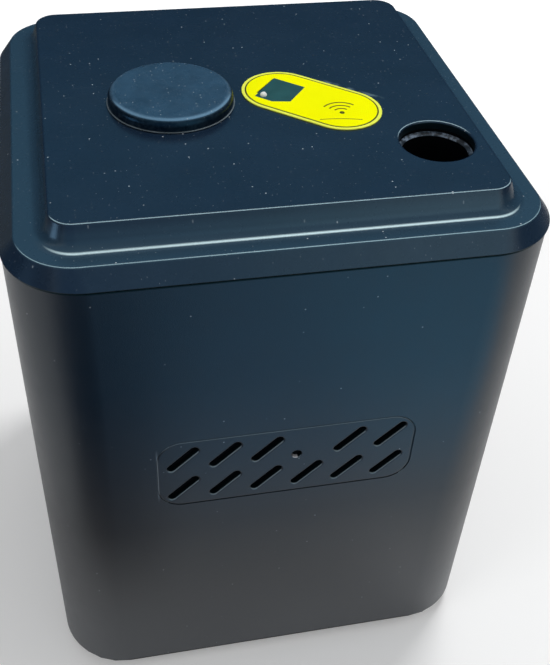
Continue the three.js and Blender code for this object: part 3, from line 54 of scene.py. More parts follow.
# Sizes shared with the solids
CASE_WIDTH, CASE_DEPTH = 200, 198.5
SEAT_GAP = 0.3
SHELL_BOTTOM, SHELL_TOP = 8.1, 236.8
SHELL_SETBACK, SHELL_WALL, SHELL_RADIUS = 0.3, 2.5, 29.2
LID_BOTTOM, LEDGE_Z, TOP_Z, CEILING_Z = 237.1, 244.3, 252.7, 249.4
NOZZLE = Vector((63.5, -0.2343 * CASE_DEPTH))
HOPPER = Vector((-0.161 * CASE_WIDTH, -0.02 * CASE_DEPTH))
LABEL = Vector((0.1125 * CASE_WIDTH, -0.051 * CASE_DEPTH))
LABEL_ANGLE = math.radians(-40)
PRINT_LENGTH, PRINT_WIDTH, PRINT_SHIFT = 58.9, 31.6, 0.4
LABEL_BOTTOM, LABEL_TOP = TOP_Z + 0.1, TOP_Z + 0.6
WINDOW_SIZE, WINDOW_OFFSET = 14, 13.6
NOZZLE_HOLE, NOZZLE_BORE, NOZZLE_OUTER, NOZZLE_FOOT = 15.1, 13.35, 14.85, 152.4
FRONT, REAR = -(CASE_DEPTH / 2 - SHELL_SETBACK), CASE_DEPTH / 2 - SHELL_SETBACK
PAD_WIDTH, PAD_HEIGHT, PAD_RADIUS, PAD_PROUD = 104.7, 36.5, 10, 0.25
COLUMN_PITCH, ROW_PITCH = 16.95, 17.2
SLOT_LENGTH, SLOT_WIDTH = 17.6, 3.9
VENT_Z = LID_BOTTOM - 78.2 - PAD_HEIGHT / 2
GROOVE_WIDTH, GROOVE_DEPTH = 0.7, 0.5
# Corners of the painted highlight line along the vent plate's left edge
PAD_LEFT, PAD_LEFT_END = (-PAD_WIDTH / 2 - 0.6, VENT_Z - 16), (-PAD_WIDTH / 2 + 0.3, VENT_Z + 16)
REAR_VENT_Z = 153.8
FAN_HOLE = 35.7
TRAY_WIDTH, TRAY_HEIGHT, TRAY_RADIUS, TRAY_Z = 136, 44, 5, 39.8
TRAY_FLOOR = REAR - 11
FLANGE_BACK = TRAY_FLOOR + SEAT_GAP
PLATE = 2  # thickness of the front plates in the tray


# Meshes


def made(name, vertices, faces):
    """A mesh object from points in millimetres, with its faces turned outwards."""
    mesh = bpy.data.meshes.new(name)
    mesh.from_pydata([[c * MM for c in v] for v in vertices], [], faces)
    work = bmesh.new()
    work.from_mesh(mesh)
    bmesh.ops.remove_doubles(work, verts=work.verts, dist=MERGE_DISTANCE)
    bmesh.ops.dissolve_degenerate(work, edges=work.edges, dist=MERGE_DISTANCE)
    bmesh.ops.recalc_face_normals(work, faces=work.faces)
    work.to_mesh(mesh)
    work.free()
    piece = bpy.data.objects.new(name, mesh)
    bpy.context.collection.objects.link(piece)
    return piece


def dressed(piece, body, replaces, look):
    """Gives a finished piece its surface, and lets it ride a body in place of the solids named."""
    piece.data.materials.clear()
    piece.data.materials.append(MATERIALS[look])
    smooth(piece)
    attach(piece, body)
    if replaces:
        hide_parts(*replaces)


def smooth(piece):
    mesh = piece.data
    mesh.polygons.foreach_set("use_smooth", [True] * len(mesh.polygons))
    mesh.set_sharp_from_angle(angle=SHARP_ANGLE)
    weights = piece.modifiers.new("flats_stay_flat", "WEIGHTED_NORMAL")
    weights.keep_sharp = True
    weights.weight = 100


def outline(width, depth, radius, steps=12):
    """Points of a rounded rectangle, anticlockwise."""
    radius = min(radius, width / 2, depth / 2)
    points = []
    for corner, (sx, sy) in enumerate(((-1, -1), (1, -1), (1, 1), (-1, 1))):
        for i in range(steps + 1):
            angle = math.pi + (corner + i / steps) * QUARTER
            x = sx * (width / 2 - radius) + radius * math.cos(angle)
            y = sy * (depth / 2 - radius) + radius * math.sin(angle)
            points.append((x, y))
    return points


def ring(width, depth, radius, z, steps=12):
    return [(x, y, z) for x, y in outline(width, depth, radius, steps)]


def inset_rings(width, depth, radius, levels, steps=12):
    """Rings of a rounded rectangle, each with its own inset and height."""
    return [ring(width - 2 * inset, depth - 2 * inset, radius - inset, z, steps) for inset, z in levels]


def circle_ring(radius, z, sides=48):
    angles = [2 * math.pi * i / sides for i in range(sides)]
    return [(radius * math.cos(angle), radius * math.sin(angle), z) for angle in angles]


def skin(name, rings, looped=False):
    """Faces through rings of points. Looped rings close on themselves, others get a cap at each end."""
    count, total = len(rings[0]), len(rings)
    faces = []
    for k in range(total if looped else total - 1):
        near, far = k * count, (k + 1) % total * count
        for i in range(count):
            j = (i + 1) % count
            faces.append((near + i, near + j, far + j, far + i))
    if not looped:
        faces.append(tuple(range(count)))
        faces.append(tuple((total - 1) * count + i for i in range(count)))
    return made(name, [p for points in rings for p in points], faces)


def lathe(name, profile, sides, looped=False):
    """A solid of revolution about Z from (radius, z) points; an open profile is capped at both ends."""
    return skin(name, [circle_ring(r, z, sides) for r, z in profile], looped)


def moved(piece, matrix):
    piece.data.transform(matrix)
    piece.data.update()
    return piece


def shift(x, y, z):
    return Matrix.Translation(Vector((x, y, z)) * MM)


TO_FRONT = Matrix.Rotation(QUARTER, 4, "X")  # local +Z to -Y, local +Y to +Z
TO_REAR = Matrix.Rotation(-QUARTER, 4, "X") @ Matrix.Rotation(math.pi, 4, "Z")  # +Z to +Y, +Y to +Z


ON_LABEL = shift(LABEL.x, LABEL.y, 0) @ Matrix.Rotation(LABEL_ANGLE, 4, "Z")


def at_front(x, y, z):
    return shift(x, y, z) @ TO_FRONT


def at_rear(x, y, z):
    return shift(x, y, z) @ TO_REAR


def merged(pieces, name=None):
    """Joins the meshes of throwaway pieces into the first one, which may get a new name."""
    work = bmesh.new()
    for piece in pieces:
        work.from_mesh(piece.data)
    work.to_mesh(pieces[0].data)
    work.free()
    for piece in pieces[1:]:
        bpy.data.objects.remove(piece)
    if name:
        pieces[0].name = name
    return pieces[0]


def combined(target, other, operation):
    """Applies a boolean with a throwaway piece."""
    step = target.modifiers.new("step", "BOOLEAN")
    step.operation = operation
    step.solver = "EXACT"
    step.object = other
    bpy.context.view_layer.update()
    evaluated = target.evaluated_get(bpy.context.evaluated_depsgraph_get())
    mesh = bpy.data.meshes.new_from_object(evaluated)
    target.modifiers.clear()
    target.data = mesh
    bpy.data.objects.remove(other)


def cut(target, cutters):
    combined(target, merged(cutters), "DIFFERENCE")


def unite(target, others):
    combined(target, merged(others), "UNION")


def rim_rings(make_ring, top, bottom, rim, steps=4):
    """Rings of a cutter that flares at its top into a rounded rim; make_ring takes (grow, z)."""
    rings = [make_ring(rim, top + 1)]
    for i in range(steps + 1):
        angle = i / steps * QUARTER
        rings.append(make_ring(rim * (1 - math.sin(angle)), top - rim * (1 - math.cos(angle))))
    rings.append(make_ring(0, bottom))
    return rings


def slot_cutter(length, width, top, bottom, rim, angle, x, y):
    def make_ring(grow, z):
        points = outline(length + 2 * grow, width + 2 * grow, width / 2 + grow, 6)
        c, s = math.cos(angle), math.sin(angle)
        return [(x + px * c - py * s, y + px * s + py * c, z) for px, py in points]

    return skin("slot", rim_rings(make_ring, top, bottom, rim))


def round_cutter(radius, top, bottom, rim, x=0.0, y=0.0, sides=48):
    def make_ring(grow, z):
        return [(x + px, y + py, pz) for px, py, pz in circle_ring(radius + grow, z, sides)]

    return skin("hole", rim_rings(make_ring, top, bottom, rim))


# Materials


MIX_FACTOR, MIX_A, MIX_B, MIX_RESULT = 0, 6, 7, 2  # a mix node's sockets for colours


def fill(tree, node, inputs):
    """Joins a node's inputs to sockets, or sets them to values."""
    for key, value in inputs.items():
        if isinstance(value, bpy.types.NodeSocket):
            tree.links.new(value, node.inputs[key])
        else:
            node.inputs[key].default_value = value
    return node


def add_node(tree, kind, inputs=None, **settings):
    node = tree.nodes.new(kind)
    for key, value in settings.items():
        setattr(node, key, value)
    return fill(tree, node, inputs or {})


class Surface:
    """The nodes of one procedural material, in the piece's own coordinates."""

    def __init__(self, name):
        self.item = bpy.data.materials.new(name)
        self.item.use_nodes = True
        self.shader = self.item.node_tree.nodes["Principled BSDF"]
        self.place = self.node("ShaderNodeTexCoord").outputs

    def node(self, kind, inputs=None, **settings):
        return add_node(self.item.node_tree, kind, inputs, **settings)

    def set(self, **inputs):
        fill(self.item.node_tree, self.shader, {key.replace("_", " "): value for key, value in inputs.items()})

    def noise(self, scale, detail=4.0, stretch=None):
        source = self.place["Object"]
        if stretch:
            mapping = {"Vector": source, "Scale": stretch[0], "Rotation": stretch[1]}
            source = self.node("ShaderNodeMapping", mapping).outputs["Vector"]
        return self.node("ShaderNodeTexNoise", {"Vector": source, "Scale": scale, "Detail": detail}).outputs["Fac"]

    def ranged(self, value, low, high, to_low=0.0, to_high=1.0):
        ends = {"From Min": low, "From Max": high, "To Min": to_low, "To Max": to_high}
        return self.node("ShaderNodeMapRange", {"Value": value, **ends}).outputs["Result"]

    def rises(self, value, *ends):
        """A factor for each pair of ends, in millimetres: nothing at its first end, full at its second."""
        return [self.ranged(value, start * MM, end * MM) for start, end in ends]

    def times(self, *factors):
        product = factors[0]
        for factor in factors[1:]:
            product = self.node("ShaderNodeMath", {0: product, 1: factor}, operation="MULTIPLY").outputs["Value"]
        return product

    def blend(self, factor, a, b):
        a, b = (color if isinstance(color, bpy.types.NodeSocket) else (*color, 1) for color in (a, b))
        step = self.node("ShaderNodeMix", {MIX_FACTOR: factor, MIX_A: a, MIX_B: b}, data_type="RGBA")
        return step.outputs[MIX_RESULT]

    def part(self, source, key):
        return self.node("ShaderNodeSeparateXYZ", {"Vector": self.place[source]}).outputs[key]

    def height(self):
        return self.part("Object", "Z")

    def upness(self):
        return self.part("Normal", "Z")


def layer(mask):
    """Turns a mask, which gives factors, into a layer: a colour laid over the tone so far by their product."""

    def made_layer(color, amount, *args, **options):
        return lambda s, tone: s.blend(s.times(*mask(s, *args, **options), amount), tone, color)

    return made_layer


@layer
def painted_floor_reflection(s, low, high, variation=0.25):
    """A painted reflection of the floor that grows downwards from height high to height low, in millimetres."""
    return *s.rises(s.height(), (high, low)), s.ranged(s.noise(9.0), 0.2, 0.8, 1 - variation, 1.0)


@layer
def shelf_dust_and_sheen(s, low, high):
    """Dust and painted sheen between two heights, in millimetres, that lighten most where the surface faces up."""
    heights = s.rises(s.height(), (low - 0.5, low), (high, high - 0.35 * (high - low)))
    return *heights, s.ranged(s.upness(), 0.4, 0.95, 0.55, 0.9)


@layer
def top_dust_and_sheen(s, variation=0.2, scale=60.0, low=0.7, high=0.98):
    """Dust and painted sheen on what faces up, lighter as if lit from above."""
    return s.ranged(s.upness(), low, high), s.ranged(s.noise(scale, 6.0), 0.3, 0.7, 1 - variation, 1.0)


@layer
def worn_edge_and_highlight(s, low, high, steep=0.55):
    """A rubbed rounding with a painted highlight between two heights, in millimetres, where the surface turns from
    upright to flat.
    """
    turning = s.times(s.ranged(s.upness(), steep, steep + 0.2), s.ranged(s.upness(), 0.995, 0.95))
    inside = s.times(*s.rises(s.height(), (low - 0.1, low), (high + 0.1, high)))
    return turning, inside, s.ranged(s.noise(90.0, 3.0), 0.3, 0.6, 0.55, 1.0)


@layer
def painted_front_highlight(s, low=0.8, peak=0.87, high=0.975, towards=(-0.1, -0.22), heights=(0, 300)):
    """A painted highlight between two heights, in millimetres, on roundings that lean a little to the front."""
    leaning = s.times(s.ranged(s.upness(), low, peak), s.ranged(s.upness(), high, peak + 0.4 * (high - peak)))
    facing = s.ranged(s.part("Normal", "Y"), *towards)
    inside = s.rises(s.height(), (heights[0], heights[0] + 0.1), (heights[1], heights[1] - 0.1))
    return leaning, facing, *inside, s.ranged(s.noise(14.0, 3.0), 0.3, 0.6, 0.7, 1.0)


@layer
def front_highlight_line(s, low, high, soft):
    """A painted highlight line on the front face between two corners (x, z), in millimetres, that fades at its ends
    by soft (x, z).
    """
    factors = s.rises(s.part("Object", "Y"), (FRONT + 1, FRONT + 0.9))
    for key, near, far, fade in zip("XZ", low, high, soft):
        factors += s.rises(s.part("Object", key), (near, near + fade), (far, far - fade))
    return factors


@layer
def film(s, scale=38.0, low=0.42, high=0.78):
    """An uneven veil of fine dust."""
    return (s.ranged(s.noise(scale, 8.0), low, high),)


@layer
def specks(s, share, scale=420.0, size=0.10, level=False):
    """Loose grains: a share of the cells holds one. Level ones lie on what faces up."""
    inputs = {"Vector": s.place["Object"], "Scale": scale}
    cells = s.node("ShaderNodeTexVoronoi", inputs, voronoi_dimensions="2D" if level else "3D").outputs
    pick = s.node("ShaderNodeSeparateColor", {"Color": cells["Color"]})
    factors = [s.ranged(cells["Distance"], size, size * 0.45)]
    factors.append(s.ranged(pick.outputs["Red"], 1 - share, 1 - share * 0.55))
    if level:
        factors.append(s.ranged(s.upness(), 0.5, 0.98, 0.25, 1.0))
    return factors


@layer
def smear(s, place, angle, low, high):
    """A scuffed strip: low and high are its corners, in millimetres, in a frame at a place and turned by an angle."""
    inputs = {"Vector": s.place["Object"], "Location": (place[0] * MM, place[1] * MM, 0), "Rotation": (0, 0, angle)}
    turned = s.node("ShaderNodeMapping", inputs, vector_type="TEXTURE").outputs["Vector"]
    axes = s.node("ShaderNodeSeparateXYZ", {"Vector": turned}).outputs
    factors = [s.upness(), s.ranged(s.noise(260.0, 3.0), 0.42, 0.6)]
    for key, near, far, fade in zip("XY", low, high, (5.0, 1.0)):
        factors += s.rises(axes[key], (near, near + fade), (far, far - fade))
    return factors


@layer
def hairlines(s, *stretch):
    """A few fine short scratches along one direction."""
    return s.ranged(s.noise(40.0, 1.0, stretch), 0.735, 0.75), s.ranged(s.noise(17.0, 1.0), 0.58, 0.64)


def material(
    name, color, roughness, metallic=0.0, grain=0.0, grain_scale=3000.0, tint=0.25, layers=(),
    mottle_scale=60.0, roughness_spread=0.12, specular=0.5, specular_tint=(1, 1, 1),
):
    """A surface with mottled colour, uneven gloss, fine grain, and layers of dust, wear and painted light."""
    s = Surface(name)
    shades = [[min(1, c * (1 + change)) for c in color] for change in (-tint, tint)]
    tone = s.blend(s.ranged(s.noise(mottle_scale), 0.3, 0.7), *shades)
    for lay in layers:
        tone = lay(s, tone)
    half = roughness_spread / 2
    gloss = s.ranged(s.noise(mottle_scale * 2.3), 0.3, 0.7, roughness - half, roughness + half)
    s.set(Base_Color=tone, Roughness=gloss, Metallic=metallic)
    s.set(Specular_IOR_Level=specular, Specular_Tint=(*specular_tint, 1))
    if grain:
        bump = {"Height": s.noise(grain_scale, 2.0), "Strength": grain, "Distance": 0.0002}
        s.set(Normal=s.node("ShaderNodeBump", bump).outputs["Normal"])
    return s.item


VEIL, GREY_DUST, PALE_GRAIN, SCRATCH = (0.2, 0.3, 0.4), (0.30, 0.36, 0.42), (0.62, 0.68, 0.74), (0.26, 0.32, 0.38)
SKY_TINT = (0.8, 0.95, 1.0)
MATERIALS = {
    "lid": material(
        "lid_plastic", (0.0038, 0.0125, 0.030), 0.27, tint=0.08, roughness_spread=0.04, specular_tint=SKY_TINT,
        layers=(
            film(VEIL, 0.012),
            film(VEIL, 0.012, 700.0),
            # Dust and a painted sheen that lighten the ledge and the wall above it.
            shelf_dust_and_sheen((0.027, 0.067, 0.104), 0.6, 244.1, 251.5),
            smear((0.16, 0.24, 0.26), 0.5, LABEL, LABEL_ANGLE, (-6.0, 15.0), (25.0, 18.6)),
            # Painted highlights on the lid's front roundings: the ledge's edge, the fillet at the wall's foot, and
            # the top's edges.
            painted_front_highlight((0.40, 0.60, 0.68), 0.8, heights=(0, 244.32)),
            painted_front_highlight((0.72, 0.95, 1.0), 0.97, 0.89, 0.944, 0.984, (-0.23, -0.34), (244.3, 247)),
            painted_front_highlight((0.44, 0.64, 0.72), 0.8, heights=(250, 260)),
            specks(PALE_GRAIN, 0.8, 0.055, 260.0, 0.085, level=True),
            specks(PALE_GRAIN, 0.3, 0.10, 520.0, 0.10, level=True),
            hairlines(SCRATCH, 0.05, (1.0, 30.0, 1.0), (0.0, 0.0, 0.5)),
            hairlines(SCRATCH, 0.05, (30.0, 1.0, 1.0), (0.0, 0.3, 0.9)),
        ),
    ),
    "case": material(
        "case_satin", (0.0014, 0.0072, 0.0145), 0.33, grain=0.22, grain_scale=3500, tint=0.05, roughness_spread=0.04,
        specular_tint=(0.9, 0.95, 1.0),
        layers=(
            # Painted floor reflection: the case's colour lightens towards the bottom.
            painted_floor_reflection((0.028, 0.026, 0.026), 1, 60, 190, 0.1),
            painted_floor_reflection((0.098, 0.104, 0.112), 1, -10, 108),
            # Dust and painted highlights on the case's up-facing rims and edges.
            top_dust_and_sheen((0.24, 0.31, 0.35), 0.8, low=0.25, high=0.8),
            # Painted highlight along the vent plate's left edge.
            front_highlight_line((0.13, 0.16, 0.19), 0.8, PAD_LEFT, PAD_LEFT_END, (0.25, 6)),
            specks(PALE_GRAIN, 0.35, 0.04, 420.0, 0.16),
        ),
    ),
    "cap": material(
        "cap_plastic", (0.0012, 0.004, 0.009), 0.3, tint=0.12, mottle_scale=110, specular=0.3,
        specular_tint=(0.3, 0.7, 1.0),
        layers=(
            # Dust and a painted sheen that make the cap's top lighter than its side.
            top_dust_and_sheen((0.026, 0.070, 0.122), 0.95, 0.35, 130.0),
            # Wear and a painted highlight round the cap's rounded edge.
            worn_edge_and_highlight((0.08, 0.16, 0.25), 0.35, 254.5, 258.05, 0.6),
            # Painted highlight on the cap's front rounding.
            painted_front_highlight((0.17, 0.32, 0.47), 0.7, 0.72, 0.79, 0.965),
            film(VEIL, 0.05, 700.0),
            specks(PALE_GRAIN, 0.7, 0.16, 420.0, 0.1, level=True),
            specks(PALE_GRAIN, 0.2, 0.25, 900.0, 0.14, level=True),
        ),
    ),
    "yellow": material(
        "yellow_film", (0.93, 0.94, 0.0), 0.5, tint=0.02, roughness_spread=0.04, specular=0.01,
        specular_tint=(1.0, 1.0, 0.1),
    ),
    "pale_yellow": material(
        "yellow_border", (0.83, 0.90, 0.10), 0.5, tint=0.02, roughness_spread=0.04, specular=0.05
    ),
    "ink": material("label_ink", (0.045, 0.055, 0.008), 0.5, tint=0.2, specular=0.2),
    "window": material(
        "display_tint", (0.020, 0.082, 0.086), 0.3, tint=0.12, roughness_spread=0.03, specular=0.15,
        mottle_scale=150.0,
    ),
    "white_spot": material("white_spot", (0.82, 0.85, 0.83), 0.4, tint=0.03),
    "black_plastic": material(
        "black_moulding", (0.019, 0.020, 0.022), 0.45, grain=0.3,
        layers=(film(GREY_DUST, 0.03), specks(PALE_GRAIN, 0.3, 0.02)),
    ),
    "rubber": material("foot_rubber", (0.018, 0.018, 0.019), 0.75, grain=0.5, grain_scale=1500),
    "steel": material("bare_steel", (0.46, 0.47, 0.48), 0.34, 1.0, grain=0.15, grain_scale=1800, tint=0.12),
    "rim_steel": material(
        "cut_rim", (0.010, 0.014, 0.020), 0.4, tint=0.6, mottle_scale=420,
        layers=(
            film((0.20, 0.26, 0.34), 0.9, 260.0, 0.46, 0.58),
            film((0.006, 0.009, 0.014), 0.8, 700.0, 0.50, 0.60),
        ),
    ),
    "shaded": material(
        "shaded_wall", (0.0012, 0.0035, 0.0050), 0.5, tint=0.3, specular=0.25, specular_tint=(0.4, 0.9, 1.0)
    ),
    # A painted highlight for the lower wall of the eye's hole.
    "eye_glint": material("painted_eye_glint", (0.78, 0.79, 0.84), 0.4, specular=0.6),
    # Painted shade for the groove round the vent plate and the plate's lower and right steps.
    "groove": material(
        "painted_groove_shade", (0.016, 0.022, 0.030), 0.5, tint=0.4, specular=0.35, specular_tint=(0.6, 0.9, 1.0)
    ),
    # Near black, so the filter behind the vent also stands in for the shade inside the case.
    "filter": material(
        "filter_foam_and_shade", (0.0015, 0.0025, 0.005), 0.9, grain=0.6, grain_scale=900, tint=0.5, mottle_scale=900,
        specular=0.1,
    ),
    # A painted highlight on the edge of the cap's foot.
    "rim_glint": material("painted_rim_glint", (0.10, 0.125, 0.14), 0.45, tint=0.6, mottle_scale=70.0),
    # Soot, and painted shade: near black, so the nozzle's bore and the chamber, diffuser and eye deep inside read
    # dark.
    "soot_and_shade": material(
        "sooty_steel_and_shade", (0.0012, 0.0014, 0.002), 0.8, 0.0, grain=0.4, grain_scale=900, tint=0.4, specular=0.08
    ),
    "zinc": material(
        "zinc_plate", (0.54, 0.55, 0.55), 0.40, 0.9, grain=0.15, grain_scale=700, tint=0.10, mottle_scale=180
    ),
    "nickel": material("nickel_shell", (0.50, 0.50, 0.48), 0.28, 1.0, grain=0.10, grain_scale=1500, tint=0.08),
    "black_metal": material("black_metal", (0.020, 0.020, 0.021), 0.40, 0.3, grain=0.25, grain_scale=1800),
    "brass": material("brass_contact", (0.62, 0.46, 0.17), 0.32, 1.0, grain=0.12, tint=0.1),
    "copper": material("copper_wire", (0.62, 0.29, 0.16), 0.34, 1.0, grain=0.12, tint=0.12),
    "ceramic": material("ceramic_body", (0.78, 0.74, 0.66), 0.72, grain=0.4, grain_scale=1300, tint=0.05),
    "board": material("board_mask", (0.018, 0.12, 0.045), 0.42, grain=0.15, tint=0.15, mottle_scale=260),
    "grey_plastic": material("grey_moulding", (0.055, 0.058, 0.062), 0.5, grain=0.3, layers=(film(GREY_DUST, 0.04),)),
    "hopper_plastic": material("hopper_moulding", (0.66, 0.68, 0.66), 0.45, grain=0.25, tint=0.05),
    "aluminium": material("plain_aluminium", (0.55, 0.56, 0.58), 0.38, 0.95, grain=0.2, grain_scale=1500, tint=0.08),
    "mark": material("white_mark", (0.75, 0.75, 0.73), 0.5, tint=0.04),
}
SLOT_OF = {
    look: slot
    for slot, looks in (
        ("black_plastic", ("lid", "black_plastic", "filter", "mark")),
        ("black_body", ("case", "black_metal")),
        ("cap_black", ("cap",)),
        ("yellow_film", ("yellow", "pale_yellow", "ink")),
        ("display_tint", ("window", "white_spot")),
        ("steel", ("steel", "soot_and_shade", "nickel")),
        ("rubber", ("rubber",)),
    )
    for look in looks
}
SLOT_LOOK = {"black_body": "black_metal", "cap_black": "cap", "yellow_film": "yellow", "display_tint": "window"}
NODE_LOOK = {"heating_chamber": "soot_and_shade", "air_diffuser": "soot_and_shade", "infrared_eye": "soot_and_shade"}


def dress_nodes():
    """Gives each solid that stays in sight a surface of its own: the node's, the slot's, or the slot's namesake."""
    for row in frame["record"]["subparts"]:
        name, slot = row["node"], row["material_slot"]
        look = NODE_LOOK.get(name, SLOT_LOOK.get(slot, slot))
        materials = frame["nodes"][name].data.materials
        materials.clear()
        materials.append(MATERIALS[look])


def repaint(piece, look, chosen):
    """Gives the chosen faces another surface; chosen takes a face's centre in millimetres and its normal."""
    piece.data.materials.append(MATERIALS[look])
    index = len(piece.data.materials) - 1
    for face in piece.data.polygons:
        if chosen(*(c / MM for c in face.center), face.normal):
            face.material_index = index


# Lid and case


LID_CORNERS = ((0, 28.6), (5.5, 21.1), (17.8, 8.5))  # corner radius at each inset


def lid_ring(inset, z, steps=20):
    """A ring of the lid at an inset from its foot, with the corner radius that belongs there."""
    near, far = LID_CORNERS[:2] if inset < LID_CORNERS[1][0] else LID_CORNERS[1:]
    share = (inset - near[0]) / (far[0] - near[0])
    radius = max(near[1] + share * (far[1] - near[1]), 0.5)
    return ring(CASE_WIDTH - 2 * inset, CASE_DEPTH - 2 * inset, radius, z, steps)


def bend(inset, z, radius, start, end, steps=8):
    """Profile points of an arc that leaves a flat at (inset, z); a negative radius makes it bulge."""
    for i in range(steps + 1):
        angle = start + (end - start) * i / steps
        yield inset + radius * math.sin(angle), z + radius * (1 - math.cos(angle))


LID_EDGE, LID_FILLET, LID_WALL = 1.2, 6, 3.3
LID_FOOT, LID_FOOT_STEP = 0.5, 0.15  # the softened lower edge of the skirt
LIP_DEPTH, LIP_WALL = 6, 2
WALL_SLOPE = math.radians(66)
NOZZLE_SHRINK, NOZZLE_RIM = 0.8, 1.1
NECK_HOLE = 21.3


def make_lid():
    skirt_inset, top_inset = LID_CORNERS[1][0], LID_CORNERS[2][0]
    skirt_slope = math.atan2(LEDGE_Z - LID_BOTTOM - LID_FOOT, skirt_inset)
    wall_rise = TOP_Z - LEDGE_Z - LID_FILLET * (1 - math.cos(WALL_SLOPE))
    foot_inset = top_inset - wall_rise / math.tan(WALL_SLOPE) - LID_FILLET * math.sin(WALL_SLOPE)
    reveal = SHELL_SETBACK + SHELL_WALL + SEAT_GAP
    lip_radius = SHELL_RADIUS - SHELL_WALL - SEAT_GAP
    lip_end = LID_BOTTOM - LIP_DEPTH
    lip_levels = ((LIP_WALL, LID_BOTTOM + 1.8), (LIP_WALL, lip_end), (0, lip_end), (0, LID_BOTTOM))
    rings = [
        lid_ring(top_inset + LID_WALL, CEILING_Z),
        lid_ring(foot_inset + LID_WALL, LEDGE_Z - LID_WALL),
        lid_ring(skirt_inset + LID_WALL, LEDGE_Z - LID_WALL),
        *inset_rings(CASE_WIDTH - 2 * reveal, CASE_DEPTH - 2 * reveal, lip_radius, lip_levels, 20),
        lid_ring(0.45, LID_BOTTOM),
        lid_ring(0.12, LID_BOTTOM + LID_FOOT_STEP),
        lid_ring(0, LID_BOTTOM + LID_FOOT),
    ]
    edge_inset = skirt_inset + LID_EDGE * math.tan(skirt_slope / 2)
    rings += [lid_ring(*point) for point in bend(edge_inset, LEDGE_Z, -LID_EDGE, skirt_slope, 0)]
    rings += [lid_ring(*point) for point in bend(foot_inset, LEDGE_Z, LID_FILLET, 0, WALL_SLOPE, 14)]
    edge_inset = top_inset + LID_EDGE * math.tan(WALL_SLOPE / 2)
    rings += [lid_ring(*point) for point in bend(edge_inset, TOP_Z, -LID_EDGE, WALL_SLOPE, 0)]
    lid = skin("lid_cover", rings)
    window = skin("window", [ring(WINDOW_SIZE, WINDOW_SIZE, 0.6, z) for z in (CEILING_Z - 3, TOP_Z + 3)])
    cutters = [
        round_cutter(NOZZLE_HOLE - NOZZLE_SHRINK, TOP_Z, CEILING_Z - 3, NOZZLE_RIM, NOZZLE.x, NOZZLE.y, 72),
        round_cutter(NECK_HOLE, TOP_Z, CEILING_Z - 3, 0.2, HOPPER.x, HOPPER.y, 64),
        moved(window, ON_LABEL @ shift(-WINDOW_OFFSET, 0, 0)),
    ]
    cut(lid, cutters)
    dressed(lid, "root", ["lid"], "lid")

    def in_shade(x, y, z, normal):
        in_nozzle = math.hypot(x - NOZZLE.x, y - NOZZLE.y) < NOZZLE_HOLE and abs(normal.z) < 0.3
        return z < LID_BOTTOM + LID_FOOT or in_nozzle

    repaint(lid, "shaded", in_shade)


def slot_places(columns, rows):
    for row in range(rows):
        for column in range(columns):
            yield column, row, (column - (columns - 1) / 2) * COLUMN_PITCH, (row - (rows - 1) / 2) * ROW_PITCH


def make_pad(name, width, height, matrix):
    """A plate that stands slightly proud, with soft edges; local +Z points out of the case."""
    levels = ((-0.25, -SHELL_WALL / 2), (-0.25, 0.02), (0.05, PAD_PROUD - 0.03), (0.35, PAD_PROUD))
    return moved(skin(name, inset_rings(width, height, PAD_RADIUS, levels)), matrix)


CUT_END = -SHELL_WALL - 3  # where the cutters end behind the wall
SLOT_RIM = 0.6
SLOT_TRIM_LENGTH, SLOT_TRIM_WIDTH = 1.0, 0.25  # room for the slots' rounded rims


def vent_cutters(columns, rows, matrix, skipped=None, mirrored=False):
    side, angle = (-1, 3 * math.pi / 4) if mirrored else (1, math.pi / 4)
    length, width = SLOT_LENGTH - SLOT_TRIM_LENGTH, SLOT_WIDTH - SLOT_TRIM_WIDTH
    return [
        moved(slot_cutter(length, width, PAD_PROUD, CUT_END, SLOT_RIM, angle, side * x, z), matrix)
        for column, row, x, z in slot_places(columns, rows)
        if (column, row) != skipped
    ]


EYE_REACH = (SLOT_LENGTH - SLOT_WIDTH) / 2 * math.cos(math.pi / 4)
EYE_X, EYE_Z, EYE_RADIUS = 0.5 * COLUMN_PITCH - EYE_REACH, ROW_PITCH / 2 - EYE_REACH, 2.1
EYE_BLOCK = (13.4, 10.6)  # the infrared eye's size with room round it
CASE_EDGE, WINDOW_RIM = 0.5, 0.4
SCREW_POCKET, SCREW_SEAT = 3.7, 1.4
GROOVE_SHIFT = 0.25
FILTER_THICKNESS = 0.8


